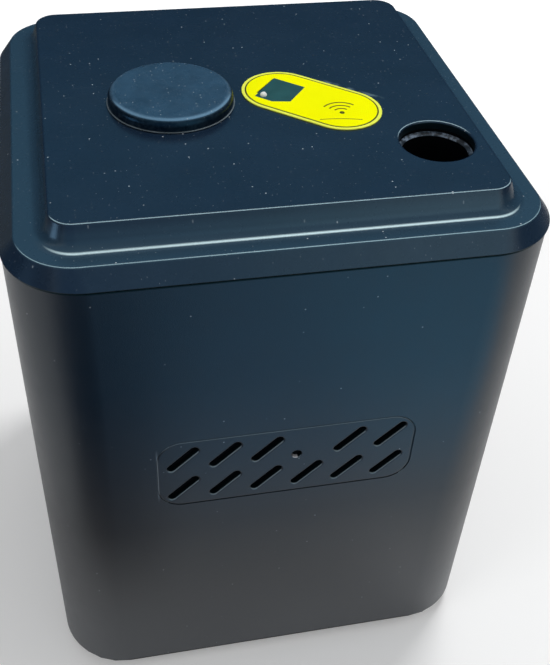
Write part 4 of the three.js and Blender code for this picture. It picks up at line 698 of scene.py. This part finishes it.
def make_case():
    width, depth = CASE_WIDTH - 2 * SHELL_SETBACK, CASE_DEPTH - 2 * SHELL_SETBACK
    levels = (
        (CASE_EDGE, SHELL_BOTTOM), (0.15, SHELL_BOTTOM + 0.15), (0, SHELL_BOTTOM + CASE_EDGE),
        (0, SHELL_TOP - CASE_EDGE), (0.15, SHELL_TOP - 0.15), (CASE_EDGE, SHELL_TOP),
        (SHELL_WALL, SHELL_TOP), (SHELL_WALL, SHELL_BOTTOM),
    )
    case = skin("case_tube", inset_rings(width, depth, SHELL_RADIUS, levels, 24), looped=True)
    rear_width = PAD_WIDTH - 2 * COLUMN_PITCH
    rear_height = PAD_HEIGHT + ROW_PITCH
    front, rear = at_front(0, FRONT, VENT_Z), at_rear(0, REAR, REAR_VENT_Z)
    levels = ((0, GROOVE_DEPTH), (0, -GROOVE_DEPTH), (-GROOVE_WIDTH, -GROOVE_DEPTH), (-GROOVE_WIDTH, GROOVE_DEPTH))
    groove = skin("groove", inset_rings(PAD_WIDTH, PAD_HEIGHT, PAD_RADIUS, levels), looped=True)
    cut(case, [moved(groove, front @ shift(GROOVE_SHIFT, -GROOVE_SHIFT, 0))])
    unite(case, [make_pad("p1", PAD_WIDTH, PAD_HEIGHT, front), make_pad("p2", rear_width, rear_height, rear)])
    cutters = vent_cutters(6, 2, front, (3, 1)) + vent_cutters(4, 3, rear, mirrored=True)
    cutters.append(moved(round_cutter(EYE_RADIUS, PAD_PROUD, CUT_END, 0.25, EYE_X, EYE_Z, 24), front))
    for sx in (-1, 1):
        for sz in (-1, 1):
            place = at_rear(sx * FAN_HOLE, REAR, REAR_VENT_Z + sz * FAN_HOLE)
            cutters.append(moved(round_cutter(SCREW_POCKET, 0, -SCREW_SEAT - 0.3, 0.25, sides=32), place))
            cutters.append(moved(round_cutter(2.1, -SCREW_SEAT - 0.1, CUT_END, 0.0, sides=16), place))

    def window_ring(grow, z):
        return ring(TRAY_WIDTH + 2 * grow, TRAY_HEIGHT + 2 * grow, TRAY_RADIUS + grow, z)

    window = skin("window", rim_rings(window_ring, 0, CUT_END, WINDOW_RIM))
    cutters.append(moved(window, at_rear(0, REAR, TRAY_Z)))
    cut(case, cutters)
    dressed(case, "root", ["body_shell"], "case")

    def in_shade(x, y, z, normal):
        in_vent = abs(x) < PAD_WIDTH / 2 and abs(z - VENT_Z) < PAD_HEIGHT / 2
        return in_vent and 0.4 < y - FRONT < SHELL_WALL - 0.1 or z > SHELL_TOP - 0.6

    def near_pad_edge(x, z):
        reach_x, reach_z = abs(x) - PAD_WIDTH / 2, abs(z - VENT_Z) - PAD_HEIGHT / 2
        return max(reach_x, reach_z) < 1.5 and (reach_x > -1 or reach_z > -1)

    # The groove and the plate's down- or right-facing steps, which get painted shade.
    def in_groove(x, y, z, normal):
        down_or_right = normal.z < -0.3 or normal.x > 0.3
        step = -PAD_PROUD - 0.1 < y - FRONT < 0.1 and 0.3 < -normal.y < 0.97 and down_or_right
        return (step or 0.05 < y - FRONT < GROOVE_DEPTH + 0.1) and near_pad_edge(x, z)

    # The lower wall of the eye's hole, which gets a painted highlight.
    def at_hole_edge(x, y, z, normal):
        right, up = x - EYE_X, z - VENT_Z - EYE_Z
        below = math.hypot(right, up) < EYE_RADIUS + 0.3 and up < -1.5 and right < 0.75
        return below and y - FRONT < SHELL_WALL and abs(normal.y) < 0.95

    repaint(case, "shaded", in_shade)
    repaint(case, "groove", in_groove)
    repaint(case, "eye_glint", at_hole_edge)


def make_filter():
    """A black dust filter behind the front vent, cut out round the infrared eye; as a near-black sheet it also stands
    in for the shade inside the case.
    """
    back = -SHELL_WALL - SEAT_GAP
    plate = rounded_plate("vent_filter", PAD_WIDTH + 2, PAD_HEIGHT + 2, 3, back - FILTER_THICKNESS, back, 0.2)
    hole = skin("hole", [ring(*EYE_BLOCK, 1, z, 3) for z in (back - 3, back + 3)])
    cut(plate, [moved(hole, shift(EYE_X, EYE_Z, 0))])
    dressed(moved(plate, at_front(0, FRONT, VENT_Z)), "root", (), "filter")


# Pieces on the top


CAP_RADIUS, CAP_SIDE_RADIUS, CAP_RISE, CAP_ROUNDING = 25.1, 24.7, 5.1, 3.3
CAP_SKIRT = 12  # how deep the cap's plug reaches into the neck
# Where the painted highlight lies on the cap's foot: outside this radius and below this rise.
GLINT_RADIUS, GLINT_RISE = 24, 0.29


def make_cap():
    foot, top = TOP_Z + SEAT_GAP, TOP_Z + SEAT_GAP + CAP_RISE
    profile = [(0.0, top), (14.0, top), (CAP_SIDE_RADIUS - CAP_ROUNDING - 0.2, top)]
    for i in range(13):
        angle = i / 12 * math.radians(86)
        out, down = CAP_ROUNDING * (1.03 - math.sin(angle)), CAP_ROUNDING * (1 - math.cos(angle))
        profile.append((CAP_SIDE_RADIUS - out, top - down))
    profile += [(CAP_SIDE_RADIUS, foot + 0.3), (CAP_RADIUS - 0.05, foot + 0.22), (CAP_RADIUS, foot + 0.15)]
    profile += [(CAP_RADIUS, foot), (21.4, foot), (21.4, foot + 1.0), (18.7, foot + 1.0)]
    profile += [(18.4, foot - CAP_SKIRT), (15.7, foot - CAP_SKIRT), (15.7, foot + 1.0), (0.0, foot + 1.0)]
    cap = moved(lathe("filler_cap", profile, 96), shift(HOPPER.x, HOPPER.y, 0))
    dressed(cap, "cap", ["hopper_cap"], "cap")

    # The edge of the cap's foot, which gets a painted highlight.
    def on_rim_glint(x, y, z, normal):
        return foot < z < foot + GLINT_RISE and math.hypot(x - HOPPER.x, y - HOPPER.y) > GLINT_RADIUS

    repaint(cap, "rim_glint", on_rim_glint)


def stadium(inset, z, steps=16):
    length, width = PRINT_LENGTH - 2 * inset, PRINT_WIDTH - 2 * inset
    return [(x + PRINT_SHIFT, y, z) for x, y in outline(length, width, width / 2, steps)]


def window_cutter():
    piece = skin("cutter", [ring(WINDOW_SIZE, WINDOW_SIZE, 0.3, z, 3) for z in (LABEL_BOTTOM - 2, LABEL_TOP + 2)])
    return moved(piece, shift(-WINDOW_OFFSET, 0, 0))


def make_label():
    film_top, print_top = LABEL_TOP - 0.10, LABEL_TOP - 0.04
    levels = ((0, LABEL_BOTTOM), (0, film_top - 0.08), (0.03, film_top - 0.02), (0.12, film_top))
    film = skin("label_film", [stadium(inset, z) for inset, z in levels])
    cut(film, [window_cutter()])
    dressed(moved(film, ON_LABEL), "root", ["label_overlay"], "pale_yellow")
    low, high = film_top - 0.1, print_top - 0.03
    levels = ((1.3, low), (1.3, high), (2.05, high), (2.05, low))
    line = skin("label_line", [stadium(inset, z) for inset, z in levels], looped=True)
    dressed(moved(line, ON_LABEL), "root", (), "ink")
    levels = ((1.9, low), (1.9, print_top), (2.1, print_top + 0.01))
    field = skin("label_field", [stadium(inset, z) for inset, z in levels])
    cut(field, [window_cutter()])
    dressed(moved(field, ON_LABEL), "root", (), "yellow")


FULL_TURN = 2 * math.pi * 0.999  # a hair short, so that a stroke's two ends don't meet


def arc_stroke(name, x, y, radius, start, end, width, low, high, steps=14):
    """A curved stroke of even width with square ends."""
    near, far = radius - width / 2, radius + width / 2
    section = ((near, low), (far, low), (far, high), (near, high))
    rings = []
    for i in range(steps + 1):
        angle = start + (end - start) * i / steps
        rings.append([(x + r * math.cos(angle), y + r * math.sin(angle), z) for r, z in section])
    return skin(name, rings)


def make_motif():
    """A plain sign of three arcs over a dot, in place of the printed picture, and the thin line under it."""
    low, high = LABEL_TOP - 0.06, LABEL_TOP - 0.005
    x, y, spread = 10.0, -12.2, 0.85
    strokes = [
        arc_stroke("arc", x, y, radius, QUARTER - spread, QUARTER + spread, 0.62, low, high)
        for radius in (3.2, 5.6, 8.0)
    ]
    strokes.append(arc_stroke("dot", x, y, 0.55, 0, FULL_TURN, 0.9, low, high))
    strokes.append(arc_stroke("line", 1.4, -69.3, 53.0, math.radians(73.4), math.radians(91.4), 0.35, low, high))
    sign = merged(strokes, "label_sign")
    dressed(moved(sign, shift(LABEL.x, LABEL.y, 0)), "root", (), "ink")


WINDOW_CORNERS = ((-19.75, -9.8), (-11.8, -10.0), (-5.6, -6.1), (-6.2, 7.5), (-20.4, 7.6))
SPOT_RADIUS, SPOT_PLACE = 1.4, (-17.1, -7.4, 0)


def make_window():
    top = LABEL_TOP - 0.02
    middle = Vector([sum(axis) for axis in zip(*WINDOW_CORNERS)]) / len(WINDOW_CORNERS)
    rings = [
        [(*(middle + share * (Vector(corner) - middle)), z) for corner in WINDOW_CORNERS]
        for share, z in ((1, top - 0.38), (1, top - 0.015), (0.995, top))
    ]
    dressed(moved(skin("display_pane", rings), ON_LABEL), "root", ["display_window"], "window")
    angles = [i / 6 * QUARTER for i in range(7)]
    dome = [(SPOT_RADIUS * math.cos(angle), top + SPOT_RADIUS * math.sin(angle)) for angle in angles]
    spot = lathe("window_spot", [(0, top - 0.2), (SPOT_RADIUS, top - 0.2), *dome], 24)
    dressed(moved(spot, ON_LABEL @ shift(*SPOT_PLACE)), "root", (), "white_spot")


def make_nozzle():
    top, inner, outer = CEILING_Z - SEAT_GAP, NOZZLE_BORE, NOZZLE_OUTER
    profile = [(inner, NOZZLE_FOOT), (outer, NOZZLE_FOOT), (outer, top - 0.1), (outer - 0.1, top)]
    profile += [(outer - 0.35, top), (outer - 0.4, top - 0.1), (outer - 0.4, top - 1.0), (outer - 0.5, top - 1.15)]
    profile += [(inner - 0.3, top - 1.7), (inner - 0.5, top - 2.0), (inner, top - 2.7)]
    liner = moved(lathe("nozzle_liner", profile, 72, looped=True), shift(NOZZLE.x, NOZZLE.y, 0))
    # The liner's inside is near black: soot and painted shade.
    dressed(liner, "root", ["nozzle_tube"], "soot_and_shade")
    repaint(liner, "rim_steel", lambda x, y, z, normal: normal.z > 0.3 and z < top - 0.9)


# Back and underside


TRAY_RIM_INSET, TRAY_WALL, TRAY_FLANGE = 0.3, 2, 10
INLET_X, INLET_WIDTH, INLET_HEIGHT = 43.7, 31, 38
SWITCH_X, SWITCH_WIDTH, SWITCH_HEIGHT = 13.9, 15, 21
SIGNAL_IN_X, SIGNAL_OUT_X = -13.4, -46.2
CAVITY_UP, FUSE_DOWN, LATCH_UP = 6.5, 11.5, 12.5
BODY_DEPTH = 20  # how deep the sockets' bodies reach behind their front plates


def rounded_plate(name, width, height, radius, low, high, edge=0.3, steps=6):
    """A plate with a softened front edge; local +Z is its front."""
    levels = (
        (0, radius, low), (0, radius, high - edge), (edge * 0.6, radius, high - edge * 0.3),
        (edge * 2, max(radius - edge, 0.1), high),
    )
    return skin(name, [ring(width - less, height - less, corner, z, steps) for less, corner, z in levels])


def block(x, up, low, high, width, height, radius=0.2, edge=0.15):
    """A small soft-edged block in local rear coordinates, as a throwaway piece."""
    return moved(rounded_plate("part", width, height, radius, low, high, edge, 3), shift(x, up, 0))


def make_tray():
    width, height = TRAY_WIDTH - 2 * TRAY_RIM_INSET, TRAY_HEIGHT - 2 * TRAY_RIM_INSET
    depth = REAR - TRAY_FLOOR
    levels = (  # what the ring loses in width and height, and in corner radius, and its height
        (1, 0.5, -depth - TRAY_WALL), (0, 0, -depth - TRAY_WALL + 0.5), (0, 0, -0.35), (0.3, 0, -0.06),
        (0.8, 0.3, 0), (3.2, 1.4, 0), (3.8, 1.8, -0.1), (4, 2, -0.5), (4, 2, -depth + 0.8),
        (4.5, 2.2, -depth + 0.2), (5.6, 2.6, -depth),
    )
    tray = skin("tray_moulding", [ring(width - a, height - a, TRAY_RADIUS - b, z) for a, b, z in levels])
    back = -SHELL_WALL - SEAT_GAP
    levels = ((-1, back), (TRAY_FLANGE, back), (TRAY_FLANGE, back - TRAY_WALL), (-1, back - TRAY_WALL))
    flange = skin("flange", [ring(width + grow, height + grow, TRAY_RADIUS, z) for grow, z in levels], looped=True)
    unite(tray, [flange])
    holes = []
    for place, wide, high in ((INLET_X, 28.6, 35.6), (SWITCH_X, 12.6, 18.6)):
        holes.append(moved(rounded_plate("hole", wide, high, 1.8, -depth - 5, -depth + 3, 0), shift(-place, 0, 0)))
    for place in (SIGNAL_IN_X, SIGNAL_OUT_X):
        holes.append(round_cutter(11.8, -depth, -depth - 5, 0, -place, 0, 40))
    cut(tray, holes)
    dressed(moved(tray, at_rear(0, REAR, TRAY_Z)), "root", ["connector_tray"], "black_plastic")


def make_inlet():
    place = at_rear(INLET_X, FLANGE_BACK, TRAY_Z)
    body = rounded_plate("inlet_moulding", INLET_WIDTH, INLET_HEIGHT, 1.5, 0, PLATE, 0.35)
    unite(body, [rounded_plate("body", 28, 35, 1.5, -BODY_DEPTH, 1)])
    half, rise, corner, rim = 12.5, 8.5, 5, 0.5

    def cavity(grow, z):
        w, h, c = half + grow, rise + grow, corner + grow * 0.6
        corners = [(-w, -h), (w, -h), (w, h - c), (w - c, h), (c - w, h), (-w, h - c)]
        return [(x, y + CAVITY_UP, z) for x, y in corners]

    cavities = [
        skin("cavity", rim_rings(cavity, PLATE, -13, rim)),
        block(0, -FUSE_DOWN, -12.3, 5, 22.6, 8.6, 0.3, 0),
    ]
    cut(body, cavities)
    dressed(moved(body, place), "root", ["power_inlet"], "black_plastic")
    pins = [block(dx, CAVITY_UP + dz, -13.4, 0, 2, 4, 0.6, 0.5) for dx, dz in ((-7, -2), (0, 2), (7, -2))]
    dressed(moved(merged(pins, "inlet_pins"), place), "root", (), "nickel")
    front = PLATE + SEAT_GAP
    drawer = rounded_plate("fuse_front", 25.2, 9.6, 0.8, front, front + 1.6, 0.3)
    unite(drawer, [rounded_plate("drawer", 22, 8, 0.3, PLATE - 14, front + 0.8, 0.1)])
    cut(drawer, [rounded_plate("grip", 11, 2.4, 1.0, front + 1.0, front + 3, 0)])
    dressed(moved(drawer, place @ shift(0, -FUSE_DOWN, 0)), "fuse_holder", ["fuse_drawer"], "black_plastic")


PADDLE_HALF_WIDTH, PADDLE_REACH, PADDLE_RISE, PADDLE_ROUNDING = 5.25, 7.2, 2.2, 0.25
FACE_REACH = 6.6
REST_LEAN = math.radians(8)
MARK_UP, MARK_SUNK, MARK_PROUD = 4.3, -0.3, 0.05


def paddle_face(y):
    """Height of the rocker's hollow face over its pivot."""
    return 1.32 + 0.8 * abs(y / FACE_REACH) ** 1.6


def make_switch():
    place = at_rear(SWITCH_X, FLANGE_BACK, TRAY_Z)
    bezel = rounded_plate("switch_bezel", SWITCH_WIDTH, SWITCH_HEIGHT, 1.5, 0, PLATE, 0.45)
    unite(bezel, [rounded_plate("body", 12, 18, 1.2, -BODY_DEPTH, 1)])
    reach = math.hypot(PADDLE_REACH, PADDLE_RISE)
    cut(bezel, [rounded_plate("well", 11.1, 2 * reach + 0.6, 0.3, 1 - reach, 5, 0)])
    dressed(moved(bezel, place), "root", ["switch_frame"], "black_plastic")
    rings = []
    half, soft = PADDLE_HALF_WIDTH, PADDLE_ROUNDING
    for x, inset in ((-half, soft), (-half + soft, 0), (half - soft, 0), (half, soft)):
        end, rise = PADDLE_REACH - inset * 0.4, PADDLE_RISE - inset
        profile = [(-2.4, -6), (-PADDLE_REACH, -1 + inset), (-end, rise)]
        for i in range(-6, 7):
            y = FACE_REACH * i / 6
            profile.append((y, paddle_face(y) - inset))
        profile += [(end, rise), (PADDLE_REACH, -1 + inset), (2.4, -6)]
        rings.append([(x, y, z) for y, z in profile])
    pivot = at_rear(SWITCH_X, FLANGE_BACK + PLATE - 1, TRAY_Z) @ Matrix.Rotation(REST_LEAN, 4, "X")
    dressed(moved(skin("rocker_paddle", rings), pivot), "rocker", ["switch_rocker"], "black_plastic")
    bar_side, bar_ends = 0.35, [MARK_UP + step for step in (-1.5, -0.5, 0.5, 1.5)]
    section = ((-bar_side, MARK_SUNK), (bar_side, MARK_SUNK), (bar_side, MARK_PROUD), (-bar_side, MARK_PROUD))
    bar = skin("bar", [[(x, y, z) for x, z in section] for y in bar_ends])
    dot = arc_stroke("ring", 0, -MARK_UP, 1.35, 0, FULL_TURN, 0.5, MARK_SUNK, MARK_PROUD, 28)
    marks = merged([bar, dot], "switch_marks")
    for vertex in marks.data.vertices:
        vertex.co.z += paddle_face(vertex.co.y / MM) * MM
    dressed(moved(marks, pivot), "rocker", (), "mark")


def contact_places():
    for degrees in (-30, 90, 210):
        angle = math.radians(degrees)
        yield 3.9 * math.cos(angle), 3.9 * math.sin(angle)


SIGNAL_WIDTH, SIGNAL_HEIGHT, BARREL_RADIUS, BORE_RADIUS = 26, 31, 11.5, 8.6
SIGNAL_SCREWS = ((-10, 12.4), (10, -12.4))
SCREW_HEAD = ((0, 0.9), (1.75, 0.9), (1.75, 1.5), (1.2, 1.9), (0, 1.95))
SIGNAL_PIN = ((0, -10), (1.2, -10), (1.2, 0), (0.95, 0.5), (0.45, 0.78), (0, 0.8))
SIGNAL_CORE = ((0, -10.2), (7.4, -10.2), (7.4, 1.6), (7.1, 1.95), (0, 1.95))
SIGNAL_FLOOR = ((0, -10.2), (8.5, -10.2), (8.5, -9.4), (0, -9.4))


def signal_socket(name, node, x, female):
    place = at_rear(x, FLANGE_BACK, TRAY_Z)
    flange = rounded_plate(name, SIGNAL_WIDTH, SIGNAL_HEIGHT, 3, 0, PLATE, 0.4)
    barrel = ((0, -BODY_DEPTH), (BARREL_RADIUS, -BODY_DEPTH), (BARREL_RADIUS, 1), (0, 1))
    unite(flange, [lathe("barrel", barrel, 40)])
    cuts = [round_cutter(BORE_RADIUS, PLATE, -10, 0.5, sides=40)]
    cuts += [round_cutter(1.9, PLATE, 0.9, 0.2, *spot, 20) for spot in SIGNAL_SCREWS]
    if female:
        cuts.append(block(0, LATCH_UP, -1, 5, 6.6, 4.6, 0.2, 0))
    cut(flange, cuts)
    dressed(moved(flange, place), "root", [node], "black_metal")
    heads = []
    for spot in SIGNAL_SCREWS:
        head = lathe("head", SCREW_HEAD, 20)
        cut_cross(head, 2.2, 0.5, 1.4, 0.1)
        heads.append(moved(head, shift(*spot, 0)))
    dressed(moved(merged(heads, name + "_screws"), place), "root", (), "steel")
    if female:
        core = lathe(name + "_insert", SIGNAL_CORE, 40)
        cut(core, [round_cutter(1.5, 1.95, -8, 0.25, *spot, 16) for spot in contact_places()])
        dressed(moved(core, place), "root", (), "black_plastic")
        return
    base = lathe(name + "_insert", SIGNAL_FLOOR, 40)
    dressed(moved(base, place), "root", (), "black_plastic")
    pins = [moved(lathe("pin", SIGNAL_PIN, 16), shift(*spot, 0)) for spot in contact_places()]
    dressed(moved(merged(pins, name + "_pins"), place), "root", (), "nickel")


def cut_cross(head, length, width, depth, radius):
    """A cross recess, one stroke after the other, because crossing cutters in one boolean can empty a piece."""
    for size in ((length, width), (width, length)):
        cut(head, [block(0, 0, depth, 3, *size, radius, 0)])


def make_latch():
    latch = rounded_plate("latch_tab", 6, 4, 0.6, 1.5, PLATE + 1.5 + SEAT_GAP, 0.4)
    for level in (-0.9, 0, 0.9):
        cut(latch, [block(0, level, 3.55, 5, 4.4, 0.3, 0.1, 0)])
    moved(latch, at_rear(SIGNAL_OUT_X, FLANGE_BACK, TRAY_Z + LATCH_UP))
    dressed(latch, "latch", ["dmx_out_latch"], "nickel")


CORNERS = (("front_left", -1, -1), ("front_right", 1, -1), ("rear_right", 1, 1), ("rear_left", -1, 1))
FAN_CORNERS = (("lower_left", -1, -1), ("lower_right", 1, -1), ("upper_right", 1, 1), ("upper_left", -1, 1))
POST_X, POST_INSET, BASE_BOTTOM = 80, 20, 6.0
FOOT_X, FOOT_Y = 0.33 * CASE_WIDTH, 0.335 * CASE_DEPTH
PAN_SCREW = (
    (0, -9), (1.5, -9), (1.8, -8.4), (1.8, 0), (3.4, 0), (3.4, 0.55), (3.15, 1.0), (2.5, 1.3), (1.6, 1.4), (0, 1.4),
)
FOOT = (
    (0, 0.5), (3.6, 0.5), (4.2, 0), (8.0, 0), (8.6, 0.3), (8.9, 1.0), (9, 2.5), (9, 5.6), (8.7, 6), (3, 6),
    (3, 8.1), (4.2, 8.1), (4.1, 8.6), (1.5, 10.6), (0, 10.6),
)


def make_screw(name, node, matrix, look):
    """A pan-head screw with a cross recess; local +Z points out of the head."""
    piece = lathe(name, PAN_SCREW, 24)
    cut_cross(piece, 3.4, 0.8, 0.5, 0.15)
    dressed(moved(piece, matrix), "root", [node], look)


def make_foot(name, sx, sy):
    foot = moved(lathe(f"rubber_foot_{name}", FOOT, 40), shift(sx * FOOT_X, sy * FOOT_Y, 0))
    dressed(foot, "root", [f"foot_{name}"], "rubber")


def make_fasteners():
    for name, sx, sy in CORNERS:
        place = shift(sx * POST_X, sy * (CASE_DEPTH / 2 - POST_INSET), BASE_BOTTOM)
        make_screw(f"base_screw_{name}", f"post_screw_{name}", place @ Matrix.Rotation(math.pi, 4, "X"), "steel")
        make_foot(name, sx, sy)
    for name, sx, sz in FAN_CORNERS:
        place = at_rear(sx * FAN_HOLE, REAR - SCREW_SEAT, REAR_VENT_Z + sz * FAN_HOLE)
        make_screw(f"vent_screw_{name}", f"fan_screw_{name}", place, "black_metal")


# Studio


PHOTO_WIDTH, PHOTO_HEIGHT = 550, 665
FOCAL_PIXELS = 979.11
PRINCIPAL = (269.94, 337.25)
CAMERA_PLACE = (-69.93, -351.0, 205.71 + LID_BOTTOM)
CAMERA_FORWARD, CAMERA_RIGHT = (0.17205, 0.72281, -0.66928), (0.9796, -0.1972, 0.0389)
FLOOR_REACH = 3000
FLOOR_TONE, FLOOR_LIFT = 0.86, (0.35, 1.3, 0.17, 0.7)  # the lift's near and far distance, and its two strengths
LIGHT_LEVEL, SEEN_LEVEL = 0.42, 1.0  # the backdrop as a light, and as the camera and the gloss see it
LAMPS = (  # place, target and size in metres, power in watts
    ("overhead", (0.36, 0.30, 1.5), (0.02, 0, 0.25), (0.27, 0.27), 9),
    ("left", (-1.0, -0.55, 0.6), (0, 0, 0.12), (0.5, 0.6), 2.3),
    ("right", (1.15, -0.2, 0.6), (0, 0, 0.12), (0.6, 0.8), 2.6),
    ("back", (0.3, 1.3, 0.3), (0, 0, 0.12), (0.8, 0.5), 3),
)
FLAGS = (  # name, colour, and the card's two ends along x, y and z
    ("behind_low", (0.03, 0.06, 0.10), (-2400, 2800), (1500, 1500), (0, 1000)),
    ("behind_high", (0.13, 0.31, 0.47), (-2400, 2800), (1500, 900), (1000, 2600)),
    ("behind_floor", (0.03, 0.05, 0.08), (-2400, 2800), (350, 1500), (2, 2)),
    ("left", (0.02, 0.04, 0.07), (-1500, -1500), (-1500, 1500), (60, 1400)),
    ("right", (0.05, 0.10, 0.16), (1500, 1500), (-1200, 1500), (60, 1400)),
    ("high_far_left", (0.20, 0.34, 0.55), (-1400, -50), (-1500, -1500), (60, 2400)),
    ("high_left", (0.38, 0.60, 0.82), (-50, 250), (-1500, -1500), (60, 2400)),
    ("high_right", (0.55, 0.88, 1.02), (250, 500), (-1500, -1500), (60, 2400)),
    ("high_far_right", (0.95, 1.30, 1.50), (500, 1400), (-1500, -1500), (60, 2400)),
    ("glint", (1.8, 2.9, 4.2), (-1490, -1490), (-640, -90), (80, 460)),
    ("behind_left", (0.12, 0.13, 0.12), (-2400, -300), (350, 1500), (3, 3)),
    ("ceiling", (0.35, 0.45, 0.55), (-1500, 1500), (-1400, 1300), (1700, 1700)),
    ("overhead", (2.6, 2.6, 2.6), (-400, 700), (20, 420), (1600, 1600)),
    ("front_left", (0.02, 0.05, 0.11), (-330, -40), (-700, -205), (2, 2)),
    ("front_middle", (0.30, 0.66, 1.05), (-40, 90), (-700, -205), (2, 2)),
    ("front_right", (0.36, 0.95, 1.45), (90, 330), (-700, -205), (2, 2)),
    ("corner", (0.105, 0.10, 0.10), (-190, -50), (-205, -150), (2, 2)),
)


def make_camera():
    data = bpy.data.cameras.new("photo_camera")
    data.sensor_fit = "AUTO"
    data.sensor_width = 36
    data.lens = FOCAL_PIXELS / PHOTO_HEIGHT * data.sensor_width
    data.shift_x = (PHOTO_WIDTH / 2 - PRINCIPAL[0]) / PHOTO_HEIGHT
    data.shift_y = (PRINCIPAL[1] - PHOTO_HEIGHT / 2) / PHOTO_HEIGHT
    data.clip_start = 0.01
    camera = bpy.data.objects.new("photo_camera", data)
    forward, right = Vector(CAMERA_FORWARD).normalized(), Vector(CAMERA_RIGHT).normalized()
    up = right.cross(forward).normalized()
    right = forward.cross(up)
    camera.matrix_world = shift(*CAMERA_PLACE) @ Matrix((right, up, -forward)).transposed().to_4x4()
    bpy.context.collection.objects.link(camera)
    bpy.context.scene.camera = camera


def make_lamp(name, place, target, size, power):
    """A soft lamp that doesn't show in gloss."""
    data = bpy.data.lights.new(name, "AREA")
    data.shape = "RECTANGLE"
    data.size, data.size_y = size
    data.energy = power
    lamp = bpy.data.objects.new(name, data)
    lamp.visible_glossy = False
    lamp.location = place
    lamp.rotation_euler = (Vector(target) - Vector(place)).to_track_quat("-Z", "Y").to_euler()
    bpy.context.collection.objects.link(lamp)


def make_flag(name, color, x, y, z):
    """A card that only shows in gloss, as a photographer sets one beside a black object."""
    sideways = x[0] == x[1]
    points = [(x[0], y[0], z[0]), (x[1], y[sideways], z[0]), (x[1], y[1], z[1]), (x[0], y[not sideways], z[1])]
    card = made(name, points, [(0, 1, 2, 3)])
    surface = Surface(name)
    surface.set(Base_Color=(0, 0, 0, 1), Specular_IOR_Level=0)
    surface.set(Emission_Color=(*color, 1), Emission_Strength=1)
    card.data.materials.append(surface.item)
    card.visible_camera = card.visible_diffuse = card.visible_shadow = False
    card.visible_transmission = card.visible_volume_scatter = False


def make_backdrop():
    """A white world that lights the machine less than it shows."""
    world = bpy.data.worlds.new("studio")
    bpy.context.scene.world = world
    world.use_nodes = True
    tree = world.node_tree
    path = add_node(tree, "ShaderNodeLightPath").outputs
    seen = path["Is Camera Ray"]
    for key in ("Is Glossy Ray", "Is Transmission Ray"):
        seen = add_node(tree, "ShaderNodeMath", {0: seen, 1: path[key]}, operation="MAXIMUM").outputs["Value"]
    level = add_node(tree, "ShaderNodeMapRange", {"Value": seen, "To Min": LIGHT_LEVEL, "To Max": SEEN_LEVEL})
    fill(tree, tree.nodes["Background"], {"Color": (1, 1, 1, 1), "Strength": level.outputs["Result"]})


def make_floor():
    """A pale floor that fades to the backdrop's white, for the camera only."""
    r = FLOOR_REACH
    floor = made("floor", [(-r, -r, 0), (r, -r, 0), (r, r, 0), (-r, r, 0)], [(0, 1, 2, 3)])
    s = Surface("floor_pale")
    s.set(Base_Color=(FLOOR_TONE, FLOOR_TONE, FLOOR_TONE, 1), Roughness=0.9, Emission_Color=(1, 1, 1, 1))
    away = s.node("ShaderNodeVectorMath", {0: s.place["Object"]}, operation="LENGTH").outputs["Value"]
    seen = s.node("ShaderNodeLightPath").outputs["Is Camera Ray"]
    s.set(Emission_Strength=s.times(seen, s.ranged(away, *FLOOR_LIFT)))
    floor.data.materials.append(s.item)


def make_studio():
    bpy.context.scene.view_settings.view_transform = "Standard"
    make_backdrop()
    make_floor()
    for lamp in LAMPS:
        make_lamp(*lamp)
    for name, *rest in FLAGS:
        make_flag("flag_" + name, *rest)


dress_nodes()
make_lid()
make_case()
make_filter()
make_cap()
make_label()
make_motif()
make_window()
make_nozzle()
make_tray()
make_inlet()
make_switch()
signal_socket("signal_in", "dmx_in_socket", SIGNAL_IN_X, False)
signal_socket("signal_out", "dmx_out_socket", SIGNAL_OUT_X, True)
make_latch()
make_fasteners()
make_camera()
make_studio()
